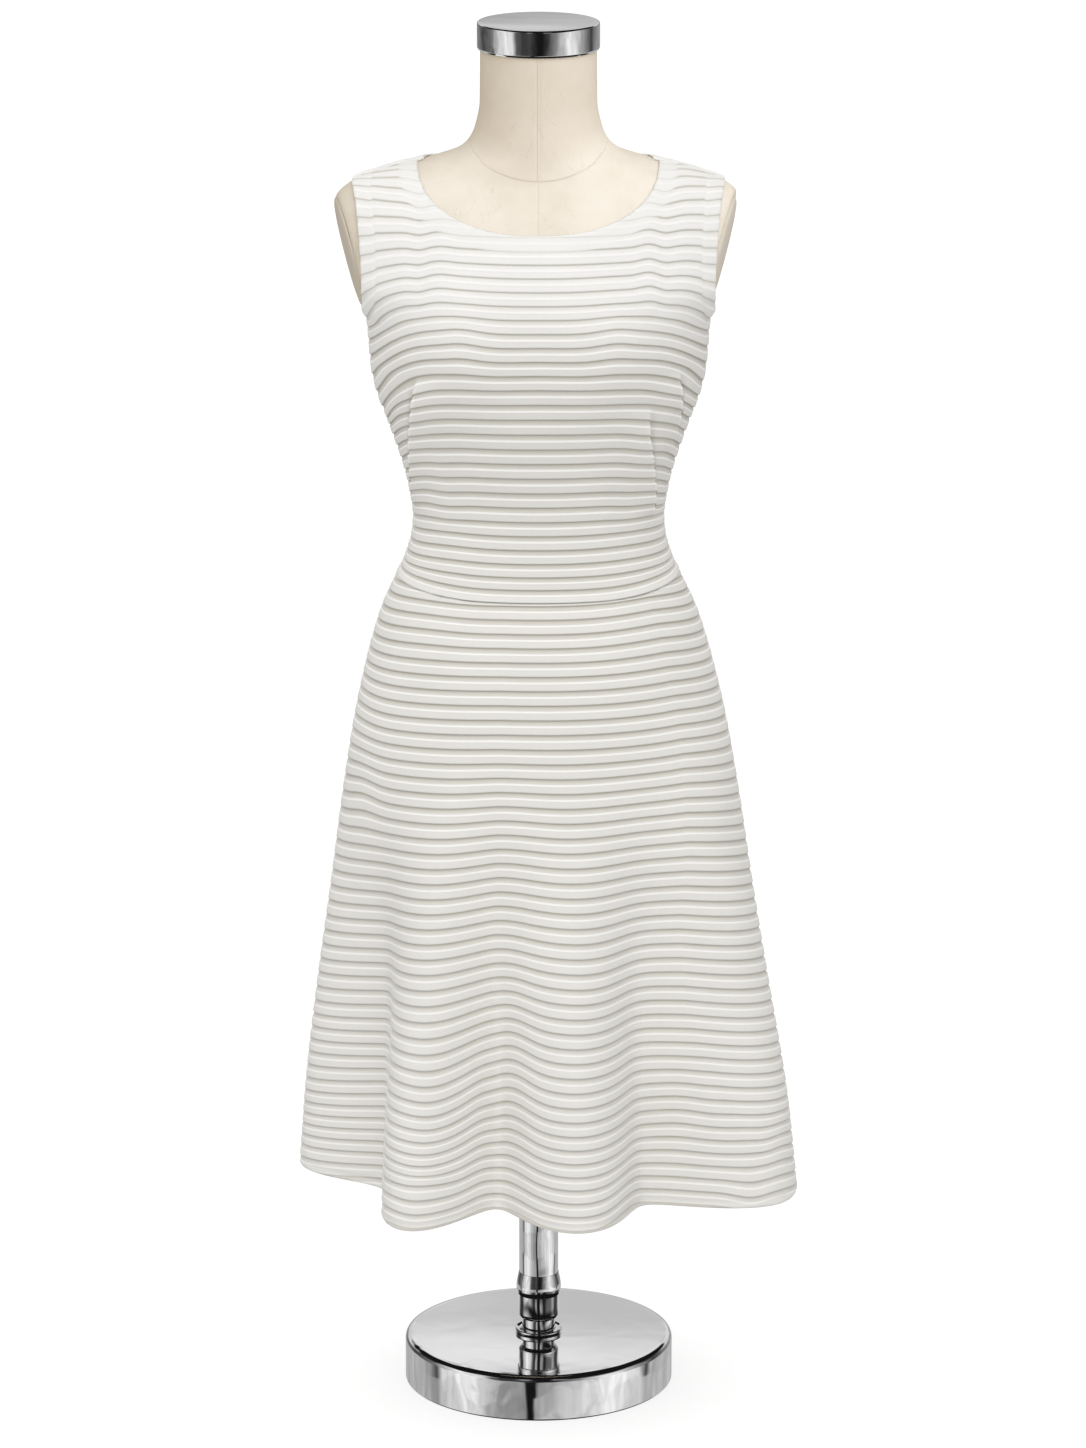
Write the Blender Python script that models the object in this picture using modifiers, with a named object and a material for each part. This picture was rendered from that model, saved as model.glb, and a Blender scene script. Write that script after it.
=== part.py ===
"""A sleeveless dress with a flared skirt, on a limbless dress form with a chrome stand.

Metres, +Z up. The front faces -Y and the origin is the middle of the foot's underside.
The form's body and neck are one loft through the sections in BODY. The bodice is that
surface moved out, so it lies just clear of the form. The skirt has sections of its own
and hangs in folds, which grow from the hip to the hem.
"""
import math

import bmesh
import bpy
from mathutils import Matrix, Vector

# ---- driving dimensions -------------------------------------------------------------

GAP = 0.0003                 # between neighbouring pieces
CLOTH = 0.0020               # thickness of the ribbed cloth
BODICE_EASE = 0.0006         # from the form's surface to the inside of the bodice
SEAM_LAP = 0.004             # how far a panel is drawn past its seams before they are cut

WAIST_SEAM = 0.8040          # heights above the floor
HEM = 0.2210
FORM_BOTTOM = 0.5800
NECK_TOP = 1.3110

NECKLINE_HALF_WIDTH = 0.1130  # the neck opening, at the shoulders
NECKLINE_TOP = 1.2140
FRONT_NECK_DEPTH = 0.0645
BACK_NECK_DEPTH = 0.0200
NECKLINE_POWER = 2.25         # squareness of its curve

ARMHOLE_MIDDLE = 1.1265       # height of its widest place
ARMHOLE_HALF_HEIGHT = 0.0640
ARMHOLE_HALF_WIDTH = 0.0780
ARMHOLE_REACH = 0.1655        # from the middle of the body to the edge of the cloth
ARMHOLE_LEAN = 0.080          # how far that reach grows for each metre up

ARM_REACH = 0.1755            # the flat end of the shoulder, at ARMHOLE_MIDDLE
ARM_LEAN = 0.240              # how far it comes in for each metre down
ARM_TURN = 0.140              # and for each metre forward
ARM_END_BOTTOM = 1.0620
ARM_SHIFT = -0.0030           # both shoulder ends lie this far towards -X
ARM_PLATE_MIDDLE = 1.1190
ARM_PLATE_HALF_HEIGHT = 0.0520
ARM_PLATE_HALF_WIDTH = 0.0400
ARM_PLATE_THICKNESS = 0.0040

# the neck seam, seen from the side: it dips in front and runs nearly level behind
NECK_SEAM = (
    # y, height
    (-0.0700, 1.1850),
    (-0.0610, 1.1960),
    (-0.0592, 1.1990),
    (-0.0565, 1.2030),
    (-0.0540, 1.2058),
    (-0.0500, 1.2095),
    (-0.0424, 1.2142),
    (-0.0340, 1.2183),
    (-0.0115, 1.2262),
    (0.0100, 1.2300),
    (0.0400, 1.2335),
    (0.0900, 1.2350),
)

BUST_HEIGHT = 1.0450
BUST_SPACING = 0.0760         # each side of the middle
BUST_REACH = 0.0100
BUST_WIDTH = 0.0480
BUST_TALLNESS = 0.0560

SKIRT_SWING = 0.0065          # the hem hangs this far towards +X
FOLD_TOP = 0.7200             # folds begin here
FOLD_FULL = 0.2800            # and are fully open here

BASE_RADIUS = 0.1300
BASE_HEIGHT = 0.0450
BASE_ROUNDING = 0.0060
FLANGE_RADIUS = 0.0230
FLANGE_HEIGHT = 0.0045
LOWER_TUBE_RADIUS = 0.0160
LOWER_TUBE_TOP = 0.5000
UPPER_TUBE_RADIUS = 0.0190
UPPER_TUBE_BOTTOM = 0.0872
TUBE_WALL = 0.0020
SLIDE_GAP = 0.0004            # between the lower tube and the collar around it
COLLAR_BOTTOM = 0.0600
COLLAR_TOP = 0.1072
BELL_RADIUS = 0.0218          # the widest ring of the collar
BELL_MIDDLE = 0.0940
NOSE_RADIUS = 0.0200          # the tapered part below it
NOSE_TOP = 0.0848
SOCKET_DEPTH = 0.0600         # how far the upper tube goes up into the form
CAP_RADIUS = 0.0575
CAP_TOP = 1.3365
CAP_ROUNDING = 0.0022
CAP_LIP_INSET = 0.0016        # the band at the cap's lower edge
CAP_LIP_HEIGHT = 0.0035

CUTTER_REACH = 0.4000         # how far cutters run past the part
CUTTER_LAP = 0.0300           # how far they run past a seam

# ---- mesh density -------------------------------------------------------------------

BODICE_COLUMNS = 22           # across one panel
SKIRT_COLUMNS = 38
FORM_COLUMNS = 44             # all round
ROUND_STEPS = 40
TUBE_STEPS = 28
NECKLINE_STEPS = 24
ARMHOLE_STEPS = 32

# ---- tables -------------------------------------------------------------------------

# the form, from its bottom edge to the top of the neck
BODY = (
    # height, half_width, front, back, power
    (0.580, 0.1460, 0.0940, 0.1060, 2.20),
    (0.640, 0.1570, 0.1030, 0.1170, 2.20),
    (0.690, 0.1600, 0.1070, 0.1200, 2.20),
    (0.740, 0.1530, 0.1050, 0.1130, 2.20),
    (0.778, 0.1425, 0.1010, 0.1020, 2.20),
    (0.804, 0.1325, 0.0965, 0.0905, 2.20),
    (0.825, 0.1240, 0.0930, 0.0830, 2.20),
    (0.848, 0.1175, 0.0900, 0.0770, 2.20),
    (0.866, 0.1160, 0.0890, 0.0750, 2.20),
    (0.895, 0.1200, 0.0910, 0.0770, 2.20),
    (0.918, 0.1255, 0.0950, 0.0800, 2.25),
    (0.941, 0.1330, 0.0990, 0.0850, 2.30),
    (0.965, 0.1415, 0.1040, 0.0900, 2.30),
    (0.988, 0.1500, 0.1080, 0.0950, 2.30),
    (1.011, 0.1550, 0.1110, 0.0990, 2.30),
    (1.034, 0.1570, 0.1120, 0.1020, 2.30),
    (1.057, 0.1590, 0.1110, 0.1050, 2.30),
    (1.076, 0.1740, 0.1085, 0.1060, 2.15),
    (1.096, 0.1890, 0.1045, 0.1060, 2.05),
    (1.117, 0.1965, 0.0980, 0.1040, 2.00),
    (1.140, 0.1990, 0.0895, 0.1000, 2.00),
    (1.160, 0.1965, 0.0800, 0.0940, 2.00),
    (1.172, 0.1900, 0.0730, 0.0890, 2.00),
    (1.184, 0.1770, 0.0665, 0.0830, 2.00),
    (1.194, 0.1510, 0.0615, 0.0740, 2.00),
    (1.206, 0.1070, 0.0585, 0.0660, 2.00),
    (1.217, 0.0750, 0.0570, 0.0610, 2.00),
    (1.228, 0.0640, 0.0565, 0.0580, 2.00),
    (1.240, 0.0590, 0.0555, 0.0560, 2.00),
    (1.262, 0.0550, 0.0545, 0.0550, 2.00),
    (1.311, 0.0545, 0.0545, 0.0545, 2.00),
)

# the skirt's inner face before it is folded, from the hem to the waist seam
SKIRT = (
    # height, half_width, front, back, power
    (0.221, 0.2320, 0.1850, 0.1850, 2.10),
    (0.310, 0.2240, 0.1770, 0.1770, 2.10),
    (0.408, 0.2120, 0.1670, 0.1670, 2.10),
    (0.504, 0.1985, 0.1560, 0.1560, 2.15),
    (0.600, 0.1855, 0.1450, 0.1460, 2.20),
    (0.671, 0.1737, 0.1350, 0.1380, 2.20),
    (0.719, 0.1630, 0.1260, 0.1290, 2.20),
    (0.754, 0.1535, 0.1180, 0.1180, 2.20),
    (0.778, 0.1452, 0.1090, 0.1070, 2.20),
    (0.804, 0.1333, 0.0973, 0.0913, 2.20),
    (0.815, 0.1285, 0.0955, 0.0875, 2.20),
)

# the hem seen from above: how far the cloth reaches from the pole in each direction.
# bearing is in degrees from straight ahead, and grows towards +X
FOLDS = (
    # bearing, reach
    (-169.0, 0.156),
    (-147.0, 0.226),
    (-126.0, 0.174),
    (-104.0, 0.226),
    (-88.0, 0.237),
    (-61.0, 0.173),
    (-33.0, 0.245),
    (-17.0, 0.156),
    (9.0, 0.221),
    (35.0, 0.160),
    (61.0, 0.261),
    (88.0, 0.234),
    (103.0, 0.222),
    (122.0, 0.176),
    (143.0, 0.230),
    (162.0, 0.164),
    (177.0, 0.196),
)

# rows of the meshes. The bodice has the form's own rows, so that their facets lie alike
BODICE_LOWEST, BODICE_HIGHEST = 0.778, 1.217
BODICE_HEIGHTS = [row[0] for row in BODY if BODICE_LOWEST <= row[0] <= BODICE_HIGHEST]
SKIRT_HEIGHTS = (HEM, 0.2840, 0.3470, 0.4100, 0.4730, 0.5360, 0.5990, 0.6510, 0.6950, 0.7330,
                 0.7660, 0.7900, WAIST_SEAM, 0.8100)


# ---- the surfaces -------------------------------------------------------------------

def smooth_at(table, place, column):
    """Value of a table's column at a place along its first column, on a smooth curve."""
    last = len(table) - 1
    place = min(max(place, table[0][0]), table[last][0])
    i = 0
    while i < last - 1 and place > table[i + 1][0]:
        i += 1

    def chord(k):
        return (table[k + 1][column] - table[k][column]) / (table[k + 1][0] - table[k][0])

    def slope(k):
        if k == 0 or k == last:
            return chord(min(k, last - 1))
        before, after = chord(k - 1), chord(k)
        if before * after <= 0.0:
            return 0.0
        return 2.0 * before * after / (before + after)

    span = table[i + 1][0] - table[i][0]
    u = (place - table[i][0]) / span
    start, end = table[i][column], table[i + 1][column]
    return ((1 + 2 * u) * (1 - u) ** 2 * start + u * (1 - u) ** 2 * span * slope(i)
            + u * u * (3 - 2 * u) * end - u * u * (1 - u) * span * slope(i + 1))


def ease_in(low, high, value):
    """0 at low, 1 at high, with a soft start and end. low may be above high."""
    u = min(max((value - low) / (high - low), 0.0), 1.0)
    return u * u * (3.0 - 2.0 * u)


def section_point(table, turn, height):
    """Point on a section. turn is 0 at +X, 0.25 in front, 0.5 at -X, 0.75 behind."""
    half_width = smooth_at(table, height, 1)
    front = smooth_at(table, height, 2)
    back = smooth_at(table, height, 3)
    roundness = 2.0 / smooth_at(table, height, 4)
    c, s = math.cos(2 * math.pi * turn), math.sin(2 * math.pi * turn)
    x = math.copysign(abs(c) ** roundness, c) * half_width
    y = -math.copysign(abs(s) ** roundness, s) * (front if s > 0 else back)
    return Vector((x, y, height))


def bust(x, height):
    """How far the bust stands forward of the plain section."""
    across = (abs(x) - BUST_SPACING) / BUST_WIDTH
    up = (height - BUST_HEIGHT) / BUST_TALLNESS
    return BUST_REACH * math.exp(-across * across - up * up)


def body_point(turn, height):
    point = section_point(BODY, turn, height)
    if point.y < 0:
        sideways = min(1.0, -point.y / 0.06)
        point.y -= bust(point.x, height) * sideways
    return point


def fold_reach(bearing):
    """Reach of the hem in one direction, on a smooth wave through FOLDS, all round."""
    rows = list(FOLDS)
    first, last = rows[0], rows[-1]
    rows = [(last[0] - 360.0, last[1])] + rows + [(first[0] + 360.0, first[1])]
    for (here, reach), (there, next_reach) in zip(rows, rows[1:]):
        if here <= bearing <= there:
            return reach + (next_reach - reach) * ease_in(here, there, bearing)
    return last[1]


def skirt_point(turn, height):
    """Point on the skirt's inner face, folds included."""
    plain = section_point(SKIRT, turn, height)
    hem = section_point(SKIRT, turn, HEM)
    bearing = math.degrees(math.atan2(hem.x, -hem.y))
    fold = fold_reach(bearing) / math.hypot(hem.x, hem.y) - 1.0
    open_by = ease_in(FOLD_TOP, FOLD_FULL, height)
    scale = 1.0 + fold * open_by
    swing = SKIRT_SWING * (WAIST_SEAM - height) / (WAIST_SEAM - HEM)
    return Vector((plain.x * scale + swing, plain.y * scale, height))


def outward(surface, turn, height):
    """The surface's unit normal, pointing away from the body."""
    step_turn, step_height = 0.002, 0.0015
    along = surface(turn + step_turn, height) - surface(turn - step_turn, height)
    up = surface(turn, height + step_height) - surface(turn, height - step_height)
    return up.cross(along).normalized()


def bodice_point(turn, height):
    """Point on the inner face of the bodice."""
    return body_point(turn, height) + outward(body_point, turn, height) * BODICE_EASE


# ---- objects ------------------------------------------------------------------------

def clear_scene():
    for item in list(bpy.data.objects):
        bpy.data.objects.remove(item, do_unlink=True)


def make_collection(name):
    collection = bpy.data.collections.new(name)
    bpy.context.scene.collection.children.link(collection)
    return collection


def make_material(name, colour, roughness, metallic=0.0):
    material = bpy.data.materials.new(name)
    material.use_nodes = True
    shader = material.node_tree.nodes["Principled BSDF"]
    shader.inputs["Base Color"].default_value = (*colour, 1.0)
    shader.inputs["Roughness"].default_value = roughness
    shader.inputs["Metallic"].default_value = metallic
    return material


def make_object(name, mesh, collection, material=None):
    item = bpy.data.objects.new(name, mesh)
    collection.objects.link(item)
    if material:
        mesh.materials.append(material)
    return item


def make_cutter(name, mesh):
    cutter = make_object(name, mesh, CUTTERS)
    cutter.hide_render = True
    cutter.display_type = "WIRE"
    return cutter


def cut(item, cutter, operation="DIFFERENCE"):
    modifier = item.modifiers.new(cutter.name, "BOOLEAN")
    modifier.operation = operation
    modifier.solver = "EXACT"
    modifier.object = cutter


def soften(mesh, degrees=35.0):
    mesh.shade_smooth()
    mesh.set_sharp_from_angle(angle=math.radians(degrees))


def loft_mesh(name, rows, closed, caps=False):
    """Quads between rows of points. closed joins each row's ends."""
    bm = bmesh.new()
    grid = [[bm.verts.new(point) for point in row] for row in rows]
    for lower, upper in zip(grid, grid[1:]):
        count = len(lower)
        for i in range(count if closed else count - 1):
            j = (i + 1) % count
            bm.faces.new((lower[j], lower[i], upper[i], upper[j]))
    if caps:
        bm.faces.new(grid[0])
        bm.faces.new(list(reversed(grid[-1])))
    mesh = bpy.data.meshes.new(name)
    bm.to_mesh(mesh)
    bm.free()
    return mesh


def prism_mesh(name, near, far):
    """A closed solid between two loops of points that match one to one."""
    bm = bmesh.new()
    near_loop = [bm.verts.new(point) for point in near]
    far_loop = [bm.verts.new(point) for point in far]
    count = len(near)
    for i in range(count):
        j = (i + 1) % count
        bm.faces.new((near_loop[i], near_loop[j], far_loop[j], far_loop[i]))
    bm.faces.new(list(reversed(near_loop)))
    bm.faces.new(far_loop)
    bmesh.ops.recalc_face_normals(bm, faces=bm.faces[:])
    mesh = bpy.data.meshes.new(name)
    bm.to_mesh(mesh)
    bm.free()
    return mesh


def turned(name, outline, steps, material, is_ring=False):
    """A turned piece. outline runs down its outer side as (radius, height) pairs."""
    mesh = bpy.data.meshes.new(name)
    points = [(radius, 0.0, height) for radius, height in outline]
    edges = [(i, i + 1) for i in range(len(points) - 1)]
    if is_ring:
        edges.append((len(points) - 1, 0))
    mesh.from_pydata(points, edges, [])
    item = make_object(name, mesh, PARTS, material)
    screw = item.modifiers.new("Turn", "SCREW")
    screw.axis = "Z"
    screw.angle = 2 * math.pi
    screw.steps = steps
    screw.render_steps = steps
    screw.use_merge_vertices = True
    screw.merge_threshold = 0.00001
    screw.use_smooth_shade = False
    return item


def tube_outline(outer, inner, bottom, top):
    return ((outer, top), (outer, bottom), (inner, bottom), (inner, top))


def rounded_rim(radius, top, rounding, count=4):
    """Outline of a disc's top, out to its side, with a rounded edge between them."""
    outline = [(0.0, top)]
    for i in range(count + 1):
        angle = math.radians(90 * i / count)
        outline.append((radius - rounding + rounding * math.sin(angle),
                        top - rounding + rounding * math.cos(angle)))
    return outline


# ---- the dress form -----------------------------------------------------------------

def add_form():
    rows = [[body_point(i / FORM_COLUMNS, row[0]) for i in range(FORM_COLUMNS)]
            for row in BODY]
    whole = loft_mesh("form_torso", rows, closed=True, caps=True)
    soften(whole, 60)
    torso = make_object("form_torso", whole, PARTS, COVER)
    neck = make_object("form_neck", whole.copy(), PARTS, COVER)

    # everything above the neck seam is neck, and everything below it is torso
    side = CUTTER_REACH
    for item, name, sign in ((torso, "above_neck_seam", 1), (neck, "below_neck_seam", -1)):
        outline = []
        for i, (y, height) in enumerate(NECK_SEAM):
            before, after = NECK_SEAM[max(i - 1, 0)], NECK_SEAM[min(i + 1, len(NECK_SEAM) - 1)]
            slope = (after[1] - before[1]) / (after[0] - before[0])
            outline.append((y, height - sign * GAP / 2 * math.hypot(1.0, slope)))
        first, last = outline[0][1], outline[-1][1]
        outline += [(side, last), (side, last + sign * CAP_TOP),
                    (-side, last + sign * CAP_TOP), (-side, first)]
        near = [(-side, y, z) for y, z in outline]
        far = [(side, y, z) for y, z in outline]
        cut(item, make_cutter(name, prism_mesh(name, near, far)))

    # flat shoulder ends, where the arm plates sit
    for side_name, sign in (("left", -1), ("right", 1)):
        name = "arm_end_" + side_name
        near = [(sign * arm_plane(y, z) + ARM_SHIFT, y, z) for y, z in
                ((-side, ARM_END_BOTTOM), (side, ARM_END_BOTTOM), (side, CAP_TOP), (-side, CAP_TOP))]
        far = [(sign * CUTTER_REACH, y, z) for x, y, z in near]
        cut(torso, make_cutter(name, prism_mesh(name, near, far)))

    # the socket for the upper tube
    radius = UPPER_TUBE_RADIUS + GAP
    ring = [(radius * math.cos(2 * math.pi * i / TUBE_STEPS),
             radius * math.sin(2 * math.pi * i / TUBE_STEPS)) for i in range(TUBE_STEPS)]
    near = [(x, y, FORM_BOTTOM - CUTTER_LAP) for x, y in ring]
    far = [(x, y, FORM_BOTTOM + SOCKET_DEPTH + GAP) for x, y in ring]
    cut(torso, make_cutter("socket", prism_mesh("socket", near, far)))


def arm_plane(y, height):
    """How far out the flat shoulder end is. Its plane leans in below and turns in in front."""
    return ARM_REACH + ARM_LEAN * (height - ARMHOLE_MIDDLE) + ARM_TURN * y


def add_arm_plates():
    for side_name, sign in (("left", -1), ("right", 1)):
        mesh = bpy.data.meshes.new("arm_plate_" + side_name)
        bm = bmesh.new()
        bmesh.ops.create_cone(bm, cap_ends=True, segments=TUBE_STEPS, radius1=1.0, radius2=1.0,
                              depth=ARM_PLATE_THICKNESS)
        bmesh.ops.scale(bm, verts=bm.verts[:],
                        vec=(ARM_PLATE_HALF_HEIGHT, ARM_PLATE_HALF_WIDTH, 1.0))
        bm.to_mesh(mesh)
        bm.free()
        plate = make_object("arm_plate_" + side_name, mesh, PARTS, PLATE)
        out = Vector((sign, -ARM_TURN, -ARM_LEAN)).normalized()
        up = Vector((sign * ARM_LEAN, 0.0, 1.0)).normalized()
        reach = sign * arm_plane(0.0, ARM_PLATE_MIDDLE) + ARM_SHIFT
        middle = Vector((reach, 0.0, ARM_PLATE_MIDDLE))
        middle += out * (GAP + ARM_PLATE_THICKNESS / 2)
        turn = Matrix((up, out.cross(up), out)).transposed()
        plate.matrix_world = Matrix.Translation(middle) @ turn.to_4x4()
        bevel = plate.modifiers.new("Rounded rim", "BEVEL")
        bevel.width = ARM_PLATE_THICKNESS * 0.4
        bevel.segments = 2
        bevel.limit_method = "ANGLE"


def add_neck_cap():
    bottom = NECK_TOP + GAP
    lip_radius, lip_top = CAP_RADIUS - CAP_LIP_INSET, bottom + CAP_LIP_HEIGHT
    outline = rounded_rim(CAP_RADIUS, CAP_TOP, CAP_ROUNDING)
    outline += [(CAP_RADIUS, lip_top + CAP_LIP_INSET), (lip_radius, lip_top),
                (lip_radius, bottom), (0.0, bottom)]
    turned("neck_cap", outline, ROUND_STEPS, CHROME)


# ---- the stand ----------------------------------------------------------------------

def add_stand():
    ease = BASE_ROUNDING / 3
    foot = rounded_rim(BASE_RADIUS, BASE_HEIGHT, BASE_ROUNDING)
    foot += [(BASE_RADIUS, ease), (BASE_RADIUS - ease, 0.0), (0.0, 0.0)]
    turned("base_plate", foot, ROUND_STEPS, CHROME)

    bottom = BASE_HEIGHT + GAP
    bore = LOWER_TUBE_RADIUS + GAP
    top = bottom + FLANGE_HEIGHT
    flange = ((bore, top - 0.0010), (FLANGE_RADIUS - 0.0030, top - 0.0014),
              (FLANGE_RADIUS - 0.0008, top), (FLANGE_RADIUS, top - 0.0008),
              (FLANGE_RADIUS - 0.0006, bottom), (bore, bottom))
    turned("base_flange", flange, TUBE_STEPS, CHROME, is_ring=True)

    lower = tube_outline(LOWER_TUBE_RADIUS, LOWER_TUBE_RADIUS - TUBE_WALL, bottom, LOWER_TUBE_TOP)
    turned("pole_lower", lower, TUBE_STEPS, CHROME, is_ring=True)

    upper = tube_outline(UPPER_TUBE_RADIUS, UPPER_TUBE_RADIUS - TUBE_WALL, UPPER_TUBE_BOTTOM,
                         FORM_BOTTOM + SOCKET_DEPTH)
    turned("pole_upper", upper, TUBE_STEPS, CHROME, is_ring=True)

    # a bell round the end of the upper tube, and a tapered nose below it
    grip = UPPER_TUBE_RADIUS + GAP
    slide = LOWER_TUBE_RADIUS + SLIDE_GAP
    ledge = UPPER_TUBE_BOTTOM - GAP
    collar = ((grip, COLLAR_TOP), (grip + 0.0005, COLLAR_TOP),
              (BELL_RADIUS - 0.0008, BELL_MIDDLE + 0.0070), (BELL_RADIUS, BELL_MIDDLE),
              (BELL_RADIUS - 0.0003, BELL_MIDDLE - 0.0050), (BELL_RADIUS - 0.0011, NOSE_TOP + 0.0004),
              (NOSE_RADIUS, NOSE_TOP), (NOSE_RADIUS - 0.0010, COLLAR_BOTTOM + 0.0055),
              (slide + 0.0006, COLLAR_BOTTOM), (slide, COLLAR_BOTTOM), (slide, ledge), (grip, ledge))
    turned("pole_collar", collar, TUBE_STEPS, CHROME, is_ring=True)


# ---- the dress ----------------------------------------------------------------------

def neckline_cutter(name, depth, facing):
    """The neck opening seen from the front or the back, run through one panel."""
    curve = []
    for i in range(NECKLINE_STEPS + 1):
        angle = math.pi * i / NECKLINE_STEPS
        c, s = math.cos(angle), math.sin(angle)
        x = math.copysign(abs(c) ** (2 / NECKLINE_POWER), c) * NECKLINE_HALF_WIDTH
        curve.append((x, NECKLINE_TOP - depth * abs(s) ** (2 / NECKLINE_POWER)))
    outline = [(NECKLINE_HALF_WIDTH, CAP_TOP), *curve, (-NECKLINE_HALF_WIDTH, CAP_TOP)]
    near = [(x, -facing * CUTTER_LAP, z) for x, z in outline]
    far = [(x, facing * CUTTER_REACH, z) for x, z in outline]
    return make_cutter(name, prism_mesh(name, near, far))


def armhole_cutter(side_name, sign):
    """An oval run through the side of the bodice, whose inner end leans like the arm."""
    outline = [(ARMHOLE_HALF_WIDTH * math.cos(2 * math.pi * i / ARMHOLE_STEPS),
                ARMHOLE_MIDDLE + ARMHOLE_HALF_HEIGHT * math.sin(2 * math.pi * i / ARMHOLE_STEPS))
               for i in range(ARMHOLE_STEPS)]
    near = [(sign * (ARMHOLE_REACH + ARMHOLE_LEAN * (z - ARMHOLE_MIDDLE)), y, z)
            for y, z in outline]
    far = [(sign * CUTTER_REACH, y, z) for y, z in outline]
    name = "armhole_" + side_name
    return make_cutter(name, prism_mesh(name, near, far))


def box_cutter(name, low, high):
    """A cutter that fills the box between two corners."""
    corners = ((0, 0), (1, 0), (1, 1), (0, 1))
    near = [((low, high)[i][0], (low, high)[j][1], low[2]) for i, j in corners]
    far = [(x, y, high[2]) for x, y, z in near]
    return make_cutter(name, prism_mesh(name, near, far))


def cloth_panel(name, surface, first_turn, columns, heights):
    """Half of a tube of cloth, drawn a little past its side seams and thickened outward."""
    turns = [first_turn + 0.5 * i / columns for i in range(columns + 1)]
    turns = [turns[0] - SEAM_LAP, *turns, turns[-1] + SEAM_LAP]
    mesh = loft_mesh(name, [[surface(turn, height) for turn in turns] for height in heights],
                     closed=False)
    soften(mesh, 60)
    panel = make_object(name, mesh, PARTS, RIBBED)
    shell = panel.modifiers.new("Cloth", "SOLIDIFY")
    shell.thickness = CLOTH
    shell.offset = 1.0
    return panel


def add_dress():
    armholes = [armhole_cutter("left", -1), armhole_cutter("right", 1)]
    past, lap, half_gap = CUTTER_REACH, CUTTER_LAP, GAP / 2
    below_waist = box_cutter("below_waist", (-past, -past, WAIST_SEAM - lap),
                             (past, past, WAIST_SEAM + half_gap))
    above_waist = box_cutter("above_waist", (-past, -past, WAIST_SEAM - half_gap),
                             (past, past, WAIST_SEAM + lap))
    behind_seam = box_cutter("behind_side_seam", (-past, -half_gap, 0.0), (past, lap, CAP_TOP))
    before_seam = box_cutter("before_side_seam", (-past, -lap, 0.0), (past, half_gap, CAP_TOP))
    sides = (
        # side, first turn, neck depth, way it faces, side seam
        ("front", 0.0, FRONT_NECK_DEPTH, -1, behind_seam),
        ("back", 0.5, BACK_NECK_DEPTH, 1, before_seam),
    )
    for side_name, first_turn, depth, facing, side_seam in sides:
        bodice = cloth_panel("bodice_" + side_name, bodice_point, first_turn, BODICE_COLUMNS,
                             BODICE_HEIGHTS)
        neckline = neckline_cutter("neckline_" + side_name, depth, facing)
        for cutter in (neckline, *armholes, below_waist, side_seam):
            cut(bodice, cutter)
        skirt = cloth_panel("skirt_" + side_name, skirt_point, first_turn, SKIRT_COLUMNS,
                            SKIRT_HEIGHTS)
        for cutter in (above_waist, side_seam):
            cut(skirt, cutter)


clear_scene()
PARTS = make_collection("dress_on_dress_form")
CUTTERS = make_collection("cutters")
RIBBED = make_material("ribbed_cloth", (0.86, 0.85, 0.81), 0.85)
COVER = make_material("form_cover", (0.78, 0.68, 0.56), 0.75)
PLATE = make_material("arm_plate", (0.62, 0.56, 0.46), 0.70)
CHROME = make_material("chrome", (0.80, 0.80, 0.80), 0.08, 1.0)

add_form()
add_arm_plates()
add_neck_cap()
add_stand()
add_dress()
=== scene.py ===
"""A sleeveless ribbed dress on a limbless dress form with a chrome stand, round the CAD frame.

Metres, +Z up, the front faces -Y. The tables and surfaces are the CAD model's, some of them
refined a little, so every piece lies where its node does. A panel of cloth is a fine grid
whose rows follow the ribs: a rib's place is a number that grows by 1 for each rib, and a
profile turns it into relief.
"""
import math

import bmesh
import bpy
import numpy as np
from mathutils import Matrix, Vector


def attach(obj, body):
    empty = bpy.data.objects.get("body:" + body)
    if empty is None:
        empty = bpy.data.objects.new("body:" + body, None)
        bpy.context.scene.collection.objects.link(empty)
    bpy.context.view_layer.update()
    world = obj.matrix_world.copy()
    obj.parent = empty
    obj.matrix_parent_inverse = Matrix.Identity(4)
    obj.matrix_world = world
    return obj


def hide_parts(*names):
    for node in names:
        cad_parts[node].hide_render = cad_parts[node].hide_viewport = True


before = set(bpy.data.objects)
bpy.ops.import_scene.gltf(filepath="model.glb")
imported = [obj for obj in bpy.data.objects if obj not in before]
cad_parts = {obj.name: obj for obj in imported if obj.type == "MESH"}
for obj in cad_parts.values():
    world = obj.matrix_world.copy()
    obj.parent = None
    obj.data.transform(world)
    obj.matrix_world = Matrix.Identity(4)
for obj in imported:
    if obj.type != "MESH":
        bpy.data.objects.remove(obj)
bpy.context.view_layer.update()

# ---- dimensions, nearly all as in the CAD model ----

WAIST_SEAM = 0.804  # heights above the floor
HEM = 0.221
FORM_BOTTOM = 0.58
NECK_TOP = 1.311

NECKLINE_HALF_WIDTH = 0.113
NECKLINE_TOP = 1.214
FRONT_NECK_DEPTH = 0.0645
BACK_NECK_DEPTH = 0.02
NECKLINE_POWER = 2.25

ARMHOLE_MIDDLE = 1.1265
ARMHOLE_HALF_HEIGHT = 0.064
ARMHOLE_HALF_WIDTH = 0.078
ARMHOLE_REACH = 0.1655
ARMHOLE_LEAN = 0.08
ARMHOLE_CORNER = 0.01  # radius that its corners are rounded to

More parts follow.
